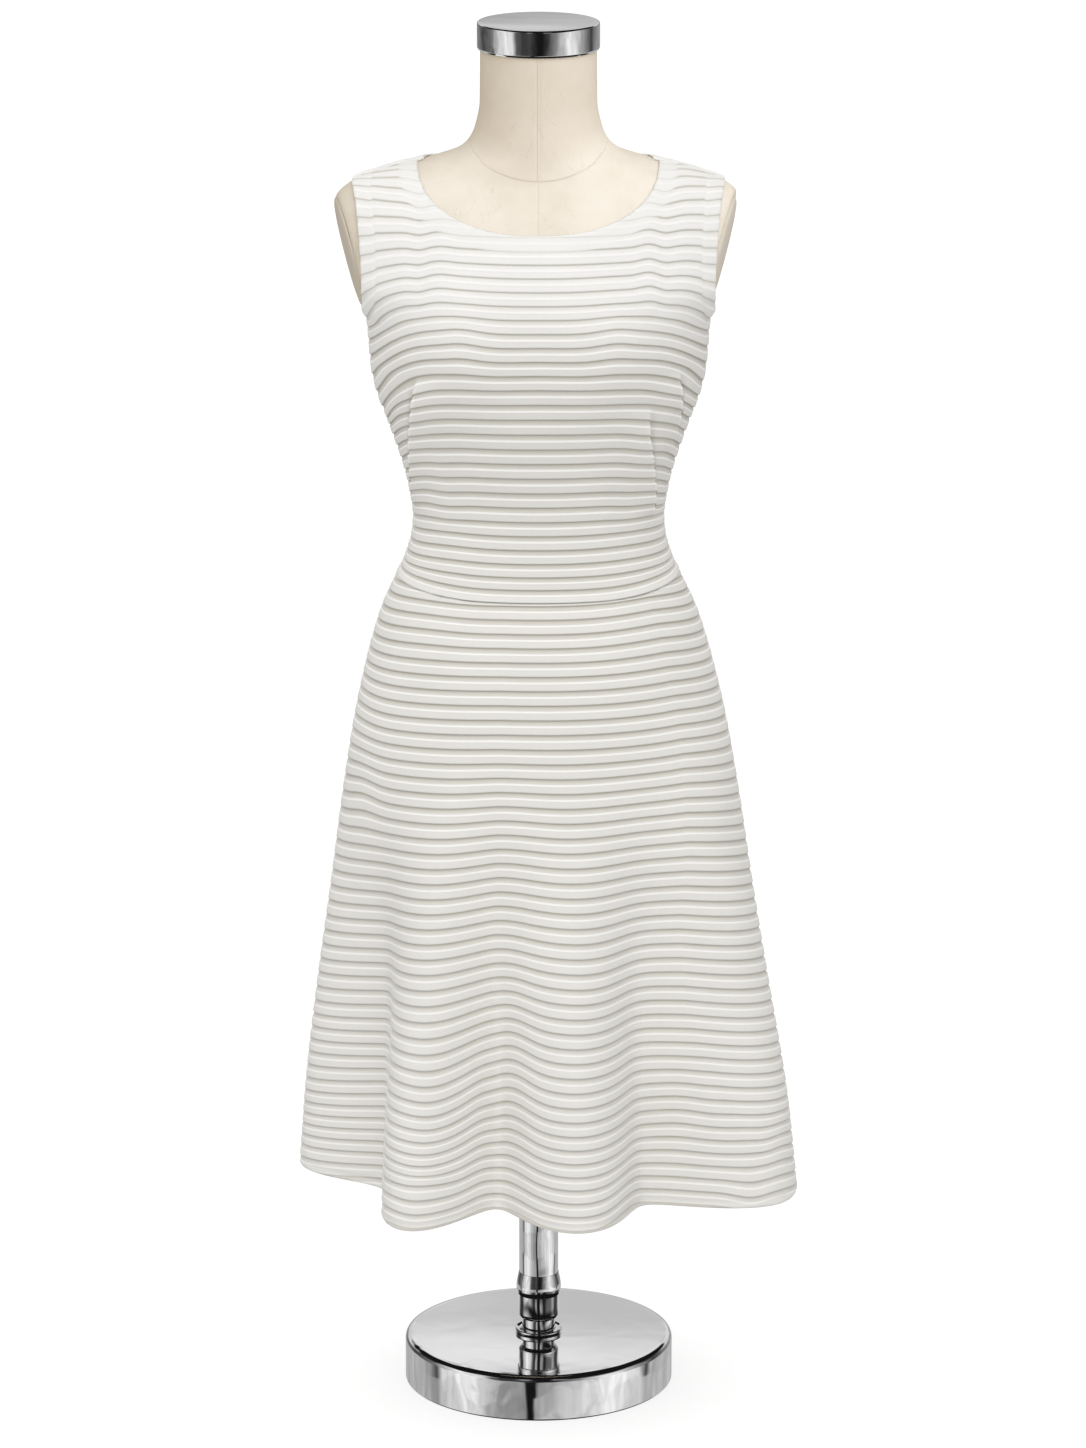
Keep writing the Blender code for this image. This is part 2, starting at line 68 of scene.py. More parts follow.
ARM_REACH = 0.1755
ARM_LEAN = 0.24
ARM_TURN = 0.14
ARM_END_BOTTOM = 1.062
ARM_SHIFT = -0.003
ARM_PLATE_MIDDLE = 1.1178
ARM_PLATE_HALF_HEIGHT = 0.0542
ARM_PLATE_HALF_WIDTH = 0.045
ARM_PLATE_THICKNESS = 0.004
ARM_ROUNDING = 0.0018  # of the edge round the form's flat ends

NECK_SEAM = (
    # y, height
    (-0.07, 1.185), (-0.061, 1.196), (-0.0592, 1.199), (-0.0565, 1.203),
    (-0.054, 1.2058), (-0.05, 1.2095), (-0.0424, 1.2142), (-0.034, 1.2183),
    (-0.0115, 1.2262), (0.01, 1.23), (0.04, 1.2335), (0.09, 1.235),
)

BUST_HEIGHT = 1.045
BUST_SPACING = 0.076
BUST_REACH = 0.01
BUST_WIDTH = 0.048
BUST_TALLNESS = 0.056

SKIRT_SWING = 0.0065  # how far the hem hangs towards +X
FOLD_TOP = 0.72  # heights where the skirt's folds start and are full
FOLD_FULL = 0.28

BASE_RADIUS = 0.13
BASE_HEIGHT = 0.045
BASE_ROUNDING = 0.006
FLANGE_RADIUS = 0.023
FLANGE_HEIGHT = 0.0045
LOWER_TUBE_RADIUS = 0.016
LOWER_TUBE_TOP = 0.5
UPPER_TUBE_RADIUS = 0.019
UPPER_TUBE_BOTTOM = 0.0872
UPPER_TUBE_TOP = 0.64
TUBE_WALL = 0.002
COLLAR_BOTTOM = 0.06
COLLAR_TOP = 0.1072
CAP_RADIUS = 0.0575
CAP_TOP = 1.3365
PIECE_GAP = 0.0003  # between turned pieces

# corners of the collar's outside, downwards
COLLAR_CORNERS = (
    # radius, height, rounding
    (0.0206, 0.1015, 0.003), (0.0218, 0.0945, 0.003), (0.0215, 0.0885, 0.0015),
    (0.0207, 0.0853, 0.0006), (0.0198, 0.0848, 0.0004), (0.0196, 0.064, 0.0012),
)

# ---- cloth ----

RECESS = 0.002  # from the inner face's own surface to the cloth between ribs
RELIEF = 0.0014  # how far a rib stands up
CLOTH = 0.0012  # thickness of the cloth
UPPER_PERIOD = 0.0136  # from rib to rib along the cloth, above UPPER_FROM
UPPER_FROM = 24  # the rib from which they are counted along the cloth
WAIST_LIFT = 0.0075  # how much the waist seam rises towards the sides
WAIST_DROP = 0.0012  # how much lower it runs in the middle than the CAD one
SEAM_GAP = 0.00015  # from a panel's edge to the plane of the side seams
SEAM_DIP = 0.0009  # how far the cloth sinks at a side seam
SEAM_EASE = 0.0035  # width over which it does
ARMHOLE_TRIM = 0.0015  # how much further in the armhole's edge lies than the CAD one
TURNED_EDGE = 0.0165  # width of the edge that is turned in and stitched
EDGE_ROLL = 0.0024  # width of the roll at the neck and the armholes
EDGE_FLOOR = 0.0015  # how far out that roll ends
EDGE_RISE = 0.0004  # how much further out the turned edge lies
EDGE_FADE = 0.1  # share of the relief that it loses at the armholes
NECK_FADE = 0.5  # how much more it loses at the neck
STITCH_DEPTH = 0.0005
STITCH_WIDTH = 0.0012
WAIST_RISE = 0.001  # how far the bodice's edge stands out at the waist seam
WAIST_EASE = 0.0035  # width over which the skirt's relief starts below that seam
HEM_ROLL = 0.0016  # width and depth of the roll at the hem
HEM_ROLL_DEPTH = 0.001
LINING_SHARE = 0.45  # how far out the skirt's inner face lies, as a share
BODICE_REACH = 0.2515  # from a panel's middle, in turns: a little beyond the side seam
SKIRT_REACH = 0.2498
PLEAT_SINK = 0.005  # how much lower the ribs run outside a fold's edge
PLEAT_WIDTH = 0.028  # of a fold's inner side, in turns

# one rib from its lower edge up: share of a period, share of RELIEF
RIB_PROFILE = (
    (0.0, 1.0), (0.1, 0.96), (0.32, 0.9), (0.5, 0.98),
    (0.57, 0.86), (0.65, 0.14), (0.8, 0.0), (0.955, 0.04),
)

# ---- tables ----

BODY = (
    # height, half_width, front, back, power
    (0.58, 0.146, 0.094, 0.106, 2.2), (0.64, 0.157, 0.103, 0.117, 2.2),
    (0.69, 0.16, 0.107, 0.12, 2.2), (0.74, 0.153, 0.105, 0.113, 2.2),
    (0.778, 0.1425, 0.101, 0.102, 2.2), (0.804, 0.1325, 0.0965, 0.0905, 2.2),
    (0.825, 0.124, 0.093, 0.083, 2.2), (0.848, 0.1175, 0.09, 0.077, 2.2),
    (0.866, 0.116, 0.089, 0.075, 2.2), (0.895, 0.12, 0.091, 0.077, 2.2),
    (0.918, 0.1255, 0.095, 0.08, 2.25), (0.941, 0.133, 0.099, 0.085, 2.3),
    (0.965, 0.1415, 0.104, 0.09, 2.3), (0.988, 0.15, 0.108, 0.095, 2.3),
    (1.011, 0.155, 0.111, 0.099, 2.3), (1.034, 0.157, 0.112, 0.102, 2.3),
    (1.057, 0.159, 0.111, 0.105, 2.3), (1.076, 0.1712, 0.1085, 0.106, 2.15),
    (1.096, 0.189, 0.1045, 0.106, 2.05), (1.117, 0.1965, 0.098, 0.104, 2.0),
    (1.14, 0.199, 0.0895, 0.1, 2.0), (1.16, 0.1965, 0.08, 0.094, 2.0),
    (1.172, 0.19, 0.073, 0.089, 2.0), (1.184, 0.177, 0.0665, 0.083, 2.0),
    (1.194, 0.151, 0.0615, 0.074, 2.0), (1.206, 0.107, 0.0585, 0.066, 2.0),
    (1.217, 0.075, 0.057, 0.061, 2.0), (1.228, 0.064, 0.0565, 0.058, 2.0),
    (1.24, 0.059, 0.0555, 0.056, 2.0), (1.262, 0.055, 0.0545, 0.055, 2.0),
    (1.311, 0.0545, 0.0545, 0.0545, 2.0),
)

SKIRT = (
    # height, half_width, front, back, power
    (0.221, 0.232, 0.185, 0.185, 2.1), (0.31, 0.224, 0.177, 0.177, 2.1),
    (0.408, 0.212, 0.167, 0.167, 2.1), (0.504, 0.1985, 0.156, 0.156, 2.15),
    (0.6, 0.1855, 0.145, 0.146, 2.2), (0.671, 0.1737, 0.135, 0.138, 2.2),
    (0.719, 0.163, 0.126, 0.129, 2.2), (0.754, 0.1535, 0.118, 0.118, 2.2),
    (0.778, 0.1452, 0.109, 0.107, 2.2), (0.804, 0.1333, 0.0973, 0.0913, 2.2),
    (0.815, 0.1285, 0.0955, 0.0875, 2.2),
)

# the hem's distance from the axis, by bearing from the front towards +X
FOLDS = (
    # bearing, reach
    (-169, 0.156), (-147, 0.226), (-126, 0.174), (-104, 0.226), (-88, 0.237), (-61, 0.173),
    (-33, 0.245), (-17, 0.156), (9, 0.221), (35, 0.16), (61, 0.261), (88, 0.234), (103, 0.222),
    (122, 0.176), (143, 0.23), (162, 0.164), (177, 0.196),
)

# height of a rib's lower edge in the middle of a panel, counted up from the waist seam
BODICE_RIBS = (
    # rib, height
    (-1, 0.789), (0, 0.801), (5, 0.866), (10, 0.938), (15, 1.011), (20, 1.076), (25, 1.137),
)

# the same, counted down from the waist seam
SKIRT_RIBS = (
    (-2, 0.824), (0, 0.8), (5, 0.738), (10, 0.671), (20, 0.534), (30, 0.396),
    (36, 0.3135), (42, 0.237), (45, 0.198),
)

# how much lower a rib is at the side seam than in the middle of the panel
BODICE_DROOP = (
    # height in the middle, drop at -X, drop at +X, turn from the middle where it starts
    (0.804, 0.002, 0.0, 0.09), (0.85, 0.006, 0.003, 0.095), (0.88, 0.009, 0.007, 0.11),
    (0.91, 0.015, 0.014, 0.12), (0.94, 0.02, 0.02, 0.12), (0.97, 0.026, 0.025, 0.11),
    (0.995, 0.034, 0.028, 0.1), (1.02, 0.045, 0.034, 0.09), (1.05, 0.043, 0.033, 0.091),
    (1.076, 0.037, 0.028, 0.088), (1.1, 0.039, 0.025, 0.084), (1.112, 0.038, 0.021, 0.082),
    (1.124, 0.032, 0.012, 0.08), (1.136, 0.024, 0.008, 0.08),
)

# the drop above UPPER_FROM, as a share of the one there
UPPER_DROOP = (
    # rib, share
    (24, 1.0), (25, 0.7), (26, 0.4), (27, 0.15), (28, -0.1), (29, -0.12), (30, 0.0),
)

# folds of the bodice towards its sides: a ridge with a steep outer side
PLEATS = (
    # side of the middle (1 is -X), rows of height, turn from the middle, reach
    (1, ((0.878, 0.212, 0.0), (0.9, 0.196, 0.0046), (0.922, 0.175, 0.006),
         (0.953, 0.154, 0.0066), (0.985, 0.132, 0.0062), (1.003, 0.124, 0.0044),
         (1.018, 0.118, 0.0))),
    (-1, ((0.874, 0.175, 0.0), (0.884, 0.169, 0.004), (0.894, 0.164, 0.0054),
          (0.905, 0.16, 0.006), (0.923, 0.147, 0.006), (0.942, 0.133, 0.0058),
          (0.961, 0.12, 0.005), (0.977, 0.114, 0.0028), (0.99, 0.11, 0.0))),
    (-1, ((0.94, 0.186, 0.0), (0.962, 0.174, 0.0034), (1.0, 0.155, 0.004),
          (1.022, 0.146, 0.0))),
)

# soft waves below the shoulders, in front
WAVES = (
    # x, width, rise of the ribs, reach
    (-0.126, 0.012, 0.0, 0.0008), (-0.11, 0.009, -0.0022, 0.0), (-0.089, 0.011, 0.001, 0.001),
    (0.101, 0.011, 0.0028, 0.001), (0.117, 0.008, -0.001, 0.0), (0.136, 0.013, 0.0012, 0.001),
)

# where ribs of the bodice's front rise or sink
BODICE_SHIFTS = (
    # turn from the middle, width, rise, and heights: start, full, fade, end
    (0.065, 0.03, 0.0015, 1.04, 1.07, 1.11, 1.15),
    (0.124, 0.034, -0.0036, 0.855, 0.9, 1.008, 1.034),
)
BUST_RISE = 0.004  # how much the ribs rise over the bust

# how much lower a rib of the skirt is at the side seam than in the middle of the panel
SKIRT_DROOP = (
    # height in the middle, drop at -X, drop at +X, turn from the middle where each starts
    (0.26, 0.028, 0.027, 0.05, 0.14), (0.355, 0.04, 0.03, 0.045, 0.12),
    (0.43, 0.037, 0.033, 0.04, 0.11), (0.49, 0.035, 0.032, 0.035, 0.11),
    (0.56, 0.028, 0.029, 0.03, 0.12), (0.62, 0.02, 0.022, 0.03, 0.125),
    (0.67, 0.015, 0.014, 0.03, 0.13), (0.74, 0.013, 0.01, 0.03, 0.13),
    (0.804, 0.008, 0.007, 0.03, 0.13),
)

# where the skirt's ribs rise or sink in front
RIB_SHIFTS = (
    # x, height, half width, half height, rise
    (-0.098, 0.345, 0.034, 0.075, -0.01), (-0.019, 0.34, 0.018, 0.11, 0.0065),
    (-0.056, 0.28, 0.014, 0.09, 0.0032), (-0.045, 0.24, 0.03, 0.05, 0.002),
    (-0.02, 0.56, 0.03, 0.08, 0.002), (0.062, 0.45, 0.035, 0.09, -0.0028),
    (0.08, 0.235, 0.015, 0.04, 0.0045), (0.135, 0.315, 0.025, 0.05, 0.003),
    (0.203, 0.232, 0.02, 0.024, -0.0055), (0.232, 0.275, 0.014, 0.03, 0.005),
    (-0.112, 0.262, 0.03, 0.014, 0.004), (-0.165, 0.605, 0.016, 0.035, 0.005),
    (-0.14, 0.245, 0.015, 0.045, 0.004), (-0.175, 0.68, 0.02, 0.06, 0.004),
    (-0.11, 0.78, 0.04, 0.035, 0.0025), (0.11, 0.78, 0.045, 0.04, 0.0022),
)

# ---- surfaces ----

def curve(table, place, column):
    """Values of a table's column at places along its first column, on a smooth curve."""
    rows = np.array(table, float)
    along, values = rows[:, 0], rows[:, column]
    chords = np.diff(values) / np.diff(along)
    before, after = chords[:-1], chords[1:]
    agree = before * after > 0
    both = np.where(agree, before + after, 1.0)
    slopes = np.concatenate(([chords[0]], np.where(agree, 2 * before * after / both, 0.0),
                             [chords[-1]]))
    place = np.clip(place, along[0], along[-1])
    i = np.clip(np.searchsorted(along, place, side="right") - 1, 0, len(along) - 2)
    span = along[i + 1] - along[i]
    u = (place - along[i]) / span
    return ((1 + 2 * u) * (1 - u) ** 2 * values[i] + u * (1 - u) ** 2 * span * slopes[i]
            + u * u * (3 - 2 * u) * values[i + 1] - u * u * (1 - u) * span * slopes[i + 1])


def ease_in(low, high, value):
    """0 at low, 1 at high, with a soft start and end. low may be above high."""
    u = np.clip((value - low) / (high - low), 0.0, 1.0)
    return u * u * (3.0 - 2.0 * u)


def bell(middle, width, value):
    return np.exp(-((value - middle) / width) ** 2)


def either(table, place, column, first):
    """A table's column where first is true, and the next column elsewhere."""
    return np.where(first, curve(table, place, column), curve(table, place, column + 1))


def section(table, turn, height):
    """Points on sections. turn is 0 at +X, 0.25 in front, 0.5 at -X, 0.75 behind."""
    turn, height = np.broadcast_arrays(np.asarray(turn, float), np.asarray(height, float))
    roundness = 2.0 / curve(table, height, 4)
    c, s = np.cos(2 * np.pi * turn), np.sin(2 * np.pi * turn)
    x = np.sign(c) * np.abs(c) ** roundness * curve(table, height, 1)
    y = -np.sign(s) * np.abs(s) ** roundness * either(table, height, 2, s > 0)
    return np.stack((x, y, height), axis=-1)


def halves(turn, middle):
    """Turns away from a panel's middle, and whether they are on its -X side."""
    return np.abs(turn - middle), (turn > middle) == (middle < 0.5)


def with_bust(x, y, height):
    """y moved forward by the bust, in front only."""
    across = (np.abs(x) - BUST_SPACING) / BUST_WIDTH
    up = (height - BUST_HEIGHT) / BUST_TALLNESS
    bust = BUST_REACH * np.exp(-across ** 2 - up ** 2)
    return np.where(y < 0, y - bust * np.minimum(1.0, -y / 0.06), y)


def body_surface(turn, height):
    points = section(BODY, turn, height)
    points[..., 1] = with_bust(*np.moveaxis(points, -1, 0))
    return points


def fold_reach(bearing):
    """FOLDS between its rows."""
    rows, round_once = np.array(FOLDS), (360.0, 0.0)
    angles, reach = np.concatenate((rows[-1:] - round_once, rows, rows[:1] + round_once)).T
    i = np.clip(np.searchsorted(angles, bearing, side="right") - 1, 0, len(angles) - 2)
    return reach[i] + (reach[i + 1] - reach[i]) * ease_in(angles[i], angles[i + 1], bearing)


def body_depth(x, height, side):
    """y of the body's surface at x, in front where side is -1 and behind where it is 1."""
    power = curve(BODY, height, 4)
    share = np.clip(1.0 - (np.abs(x) / curve(BODY, height, 1)) ** power, 0.0, 1.0)
    y = side * share ** (1.0 / power) * curve(BODY, height, 2 if side < 0 else 3)
    return with_bust(x, y, height)


def soft_reach(bearing):
    """fold_reach with its tightest bends eased, as cloth falls."""
    eased = 0.0
    for offset, share in ((-6.0, 0.1), (-3.0, 0.2), (0.0, 0.4), (3.0, 0.2), (6.0, 0.1)):
        eased = eased + share * fold_reach((bearing + offset + 180.0) % 360.0 - 180.0)
    return eased


def skirt_surface(turn, height):
    points = section(SKIRT, turn, height)
    hem = section(SKIRT, turn, np.full_like(points[..., 0], HEM))
    bearing = np.degrees(np.arctan2(hem[..., 0], -hem[..., 1]))
    fold = soft_reach(bearing) / np.hypot(hem[..., 0], hem[..., 1]) - 1.0
    scale = 1.0 + fold * ease_in(FOLD_TOP, FOLD_FULL, points[..., 2])
    swing = SKIRT_SWING * (WAIST_SEAM - points[..., 2]) / (WAIST_SEAM - HEM)
    points[..., 0] = points[..., 0] * scale + swing
    points[..., 1] = points[..., 1] * scale
    return points


def outward(surface, turn, height):
    """The surface's unit normals, pointing away from the body."""
    step_turn, step_height = 0.002, 0.0015
    along = surface(turn + step_turn, height) - surface(turn - step_turn, height)
    up = surface(turn, height + step_height) - surface(turn, height - step_height)
    normal = np.cross(up, along)
    return normal / np.linalg.norm(normal, axis=-1, keepdims=True)


# ---- materials ----

class Nodes:
    """Short names for the node calls that the materials and the world share."""

    def __init__(self, tree):
        self.tree = tree

    def add(self, kind, links=(), **settings):
        """A new node's outputs."""
        node = self.tree.nodes.new(kind)
        for key, value in settings.items():
            setattr(node, key, value)
        for key, value in dict(links).items():
            if isinstance(value, bpy.types.NodeSocket):
                self.tree.links.new(value, node.inputs[key])
            else:
                node.inputs[key].default_value = value
        return node.outputs

    def maths(self, operation, a, b=0.0):
        return self.add("ShaderNodeMath", {0: a, 1: b}, operation=operation)[0]

    def spread(self, value, low, high, to_low=0.0, to_high=1.0, way="SMOOTHSTEP"):
        """value from low to high becomes to_low to to_high."""
        return self.add("ShaderNodeMapRange", {0: value, 1: low, 2: high, 3: to_low, 4: to_high},
                        interpolation_type=way)[0]

    def line(self, value, inner, outer, most):
        """most where value is within inner of 0, down to 0 where it is outer away."""
        return self.spread(self.maths("ABSOLUTE", value), inner, outer, most, 0.0)

    def where(self, kind="Object"):
        return self.add("ShaderNodeTexCoord")[kind]

    def parts(self, vector):
        return self.add("ShaderNodeSeparateXYZ", {0: vector})

    def layer(self, name):
        return self.add("ShaderNodeUVMap", uv_map=name)[0]

    def noise(self, where, scale, detail=2.0, roughness=0.5, distortion=0.0):
        return self.add("ShaderNodeTexNoise", {"Vector": where, "Scale": scale, "Detail": detail,
                                               "Roughness": roughness,
                                               "Distortion": distortion})[0]

    def stretched(self, where, scale):
        return self.add("ShaderNodeMapping", {"Vector": where, "Scale": scale})[0]

    def mix(self, share, a, b):
        """Colours a and b, by share."""
        return self.add("ShaderNodeMix", {0: share, 6: a, 7: b}, data_type="RGBA")[2]

    def ramp(self, value, stops):
        colour = self.add("ShaderNodeValToRGB", {0: value})[0]
        elements = colour.node.color_ramp.elements
        while len(elements) < len(stops):
            elements.new(0.5)
        for element, (place, shade) in zip(elements, stops):
            element.position = place
            element.color = (*shade, 1.0)
        return colour


class Surface(Nodes):
    """A material with one Principled shader."""

    def __init__(self, name, colour, roughness, metallic=0.0, **settings):
        self.material = bpy.data.materials.new(name)
        self.material.use_nodes = True
        super().__init__(self.material.node_tree)
        self.shader = self.tree.nodes["Principled BSDF"]
        settings.update(base_color=(*colour, 1.0), roughness=roughness, metallic=metallic)
        for key, value in settings.items():
            socket = key.replace("_", " ").title().replace("Ior", "IOR")
            self.shader.inputs[socket].default_value = value

    def bump(self, height, distance, strength=1.0):
        self.feed("Normal", self.add("ShaderNodeBump", {
            "Height": height, "Distance": distance, "Strength": strength})[0])

    def feed(self, name, socket):
        self.tree.links.new(socket, self.shader.inputs[name])


def ribbed_cloth():
    n = Surface("ribbed_cloth", (0.8, 0.79, 0.76), 0.9, sheen_weight=0.1,
                sheen_roughness=0.6, specular_ior_level=0.25)
    # layer "ribs" holds the turn and the rib's number. Layer "plain" holds how far the ribs'
    # colours fade, and the painted light along a fold's edge with the painted shade behind it.
    uv = n.layer("ribs")
    place = n.maths("FRACT", n.parts(uv)[1])
    plainness, rim = n.parts(n.layer("plain"))[:2]
    # lower edge of the rib, its face, a painted highlight along its top edge, the recess, greyer
    # both in its own colour and by painted shade, and painted shade under the next rib
    colour_and_painted_light = n.ramp(place, (
        (0.0, (0.7, 0.68, 0.635)), (0.06, (0.79, 0.77, 0.725)), (0.46, (0.795, 0.775, 0.73)),
        (0.5, (0.985, 0.975, 0.945)), (0.575, (0.985, 0.975, 0.945)),
        (0.62, (0.72, 0.695, 0.64)), (0.86, (0.62, 0.59, 0.525)),
        (0.95, (0.42, 0.385, 0.325)), (1.0, (0.47, 0.44, 0.38)),
    ))
    # the upper bodice's ribs: lighter all over as painted light from above, with a painted
    # highlight and a thinner line of painted shade
    upper_painted_light = n.ramp(place, (
        (0.0, (0.9, 0.89, 0.86)), (0.3, (0.9, 0.89, 0.86)), (0.42, (0.86, 0.85, 0.815)),
        (0.48, (0.98, 0.97, 0.945)), (0.57, (0.97, 0.96, 0.935)), (0.65, (0.9, 0.885, 0.85)),
        (0.885, (0.87, 0.85, 0.805)), (0.95, (0.57, 0.525, 0.455)), (1.0, (0.8, 0.775, 0.725)),
    ))
    where = n.where()
    height = n.parts(where)[2]
    colour_and_painted_light = n.mix(n.spread(height, 1.02, 1.11), colour_and_painted_light, upper_painted_light)
    # painted highlight and shade fade partly to one flat colour, more so lower down
    colour_and_painted_light = n.mix(n.spread(height, 0.28, 0.8, 0.42, 0.16), colour_and_painted_light, (0.825, 0.815, 0.775, 1))
    colour_and_painted_light = n.mix(plainness, colour_and_painted_light, (0.9, 0.89, 0.865, 1))
    # fine crosswise grain, with a slow cloudiness over it
    grain = n.noise(n.stretched(uv, (14.0, 30.0, 1.0)), 2.6, 3.0, 0.65)
    cloudy = n.noise(where, 9.0)
    shade = n.maths("ADD", n.spread(grain, 0.25, 0.75, 0.955, 1.02),
                    n.spread(cloudy, 0.3, 0.7, -0.012, 0.012))
    # painted light along the bodice folds' edges and painted shade just beyond them
    shade = n.maths("ADD", shade, n.maths("MULTIPLY", rim, 0.16))
    n.feed("Base Color", n.add("ShaderNodeVectorMath", {0: colour_and_painted_light, 3: shade},
                               operation="SCALE")[0])
    wale = n.noise(n.stretched(uv, (30.0, 60.0, 1.0)), 6.0, 2.0, 0.6)
    n.bump(n.maths("ADD", n.maths("MULTIPLY", grain, 0.6), n.maths("MULTIPLY", wale, 0.4)),
           0.0006, 0.45)
    return n.material


def form_cover():
    n = Surface("form_cover", (0.8, 0.71, 0.59), 0.72, specular_ior_level=0.3)
    where = n.where()
    cloudy = n.noise(where, 14.0, 4.0, 0.6)
    base = n.mix(n.spread(cloudy, 0.3, 0.7), (0.693, 0.598, 0.46, 1), (0.76, 0.67, 0.535, 1))
    # sparse dark hairlines, dented a little, and specks, as on stretched parchment-like linen
    hair = n.noise(n.stretched(where, (1.0, 1.0, 0.45)), 34.0, 2.0, 0.55, 2.2)
    line = n.line(n.maths("SUBTRACT", hair, 0.5), 0.0, 0.012, 1.0)
    patchy = n.spread(n.noise(where, 22.0), 0.45, 0.62)
    line = n.maths("MULTIPLY", n.maths("MULTIPLY", line, patchy), 0.4)
    base = n.mix(line, base, (0.6, 0.46, 0.33, 1))
    speck = n.spread(n.noise(where, 420.0, 1.0), 0.7, 0.76, 0.0, 0.35)
    base = n.mix(speck, base, (0.62, 0.5, 0.38, 1))
    # layer "seams" holds the distance above the neck seam and the distance from the middle,
    # in centimetres. Above that seam the cover is a little darker and warmer, as painted shade
    # on the neck, and the seam down the middle is a narrow double line.
    above, aside = n.parts(n.layer("seams"))[:2]
    base = n.mix(n.spread(above, -1.0, 2.5, 0.0, 0.27), base, (0.582, 0.454, 0.313, 1))
    round_neck = n.line(above, 0.01, 0.06, 0.24)
    single = n.line(aside, 0.02, 0.08, 0.36)
    dark = n.line(n.maths("ADD", aside, 0.1), 0.02, 0.08, 0.52)
    faint = n.line(n.maths("SUBTRACT", aside, 0.12), 0.01, 0.06, 0.18)
    lines = n.add("ShaderNodeMix", {0: n.maths("GREATER_THAN", above, 0.0), 2: single,
                                    3: n.maths("MAXIMUM", dark, faint)})[0]
    base = n.mix(n.maths("MAXIMUM", lines, round_neck), base, (0.56, 0.43, 0.32, 1))
    n.feed("Base Color", base)
    weave = n.add("ShaderNodeTexMagic", {"Vector": where, "Scale": 520.0, "Distortion": 1.5},
                  turbulence_depth=2)[1]
    fine = n.noise(where, 700.0)
    n.bump(n.maths("ADD", n.maths("MULTIPLY", weave, 0.35), n.maths("ADD", fine, line)),
           0.0004, 0.3)
    return n.material


def arm_cover():
    n = Surface("arm_plate", (0.66, 0.6, 0.51), 0.75)
    where = n.where()
    cloudy = n.noise(where, 40.0, 3.0)
    n.feed("Base Color", n.mix(cloudy, (0.6, 0.525, 0.41, 1), (0.665, 0.59, 0.475, 1)))
    n.bump(n.noise(where, 600.0), 0.0003, 0.3)
    return n.material


def chrome(name, waves, depth, smooth_within=0.0):
    """Polished chrome. waves a metre and depth say how its surface undulates, which it
    hardly does nearer the axis than smooth_within."""
    n = Surface(name, (0.9, 0.9, 0.905), 0.04, 1.0)
    where = n.where()
    ripple = n.noise(where, waves, 1.0, 0.4, 0.6)
    if smooth_within:
        flat = n.add("ShaderNodeVectorMath", {0: n.stretched(where, (1.0, 1.0, 0.0))},
                     operation="LENGTH")["Value"]
        most = n.spread(flat, smooth_within - 0.004, smooth_within + 0.004, 0.12, 1.0)
        ripple = n.maths("MULTIPLY", n.maths("SUBTRACT", ripple, 0.5), most)
    n.feed("Roughness", n.spread(n.noise(where, 60.0, 3.0), 0.3, 0.75, 0.02, 0.06))
    n.bump(ripple, depth)
    return n.material


# ---- meshes ----

def placed(name, data):
    item = bpy.data.objects.new(name, data)
    bpy.context.scene.collection.objects.link(item)
    return item


def add_object(name, mesh, material, body, node):
    item = placed(name, mesh)
    mesh.materials.append(material)
    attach(item, body)
    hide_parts(node)
    return item


def mesh_from(name, points, faces, **layers):
    """A mesh. Each layer holds two numbers for each point."""
    mesh = bpy.data.meshes.new(name)
    mesh.from_pydata([tuple(p) for p in points], [], [tuple(f) for f in faces])
    corners = np.zeros(len(mesh.loops), np.int32)
    mesh.loops.foreach_get("vertex_index", corners)
    for layer_name, values in layers.items():
        layer = mesh.uv_layers.new(name=layer_name)
        layer.data.foreach_set("uv", np.asarray(values, np.float32)[corners].ravel())
    return mesh


def grid_faces(rows, columns, closed=False):
    """Quads of a grid of vertices counted row by row, seen from outside."""
    across = columns if closed else columns - 1
    i, j = np.meshgrid(np.arange(rows - 1), np.arange(across), indexing="ij")
    here, right = i * columns + j, i * columns + (j + 1) % columns
    quads = np.stack((right, here, here + columns, right + columns), axis=-1)
    return [tuple(face) for face in quads.reshape(-1, 4).tolist()]


def clip(points, faces, level):
    """The part of a mesh where level is above 0. Each row of points belongs to a vertex,
    and a vertex on the cut gets a row in between."""
    inside = (level > 0).tolist()
    made, added, kept = {}, [], []
    for face in faces:
        held = [inside[i] for i in face]
        if all(held):
            kept.append(face)
        if all(held) or not any(held):
            continue
        cut = []
        for a, b in zip(face, face[1:] + face[:1]):
            if inside[a]:
                cut.append(a)
            if inside[a] != inside[b]:
                low, high = min(a, b), max(a, b)
                if (low, high) not in made:
                    share = level[low] / (level[low] - level[high])
                    made[low, high] = len(points) + len(added)
                    added.append(points[low] + (points[high] - points[low]) * share)
                cut.append(made[low, high])
        kept.append(tuple(cut))
    return np.concatenate((points, added)) if added else points, kept


def tidy(mesh, distance, degrees, closed=False):
    """Merges points that lie together, drops what no face uses, and shades smoothly up to an
    angle. closed fills the holes."""
    bm = bmesh.new()
    bm.from_mesh(mesh)
    bmesh.ops.remove_doubles(bm, verts=bm.verts[:], dist=distance)
    loose = [v for v in bm.verts if not v.link_faces]
    bmesh.ops.delete(bm, geom=loose, context="VERTS")
    if closed:
        bmesh.ops.holes_fill(bm, edges=[e for e in bm.edges if e.is_boundary])
        bmesh.ops.recalc_face_normals(bm, faces=bm.faces[:])
    bm.to_mesh(mesh)
    bm.free()
    mesh.shade_smooth()
    mesh.set_sharp_from_angle(angle=math.radians(degrees))


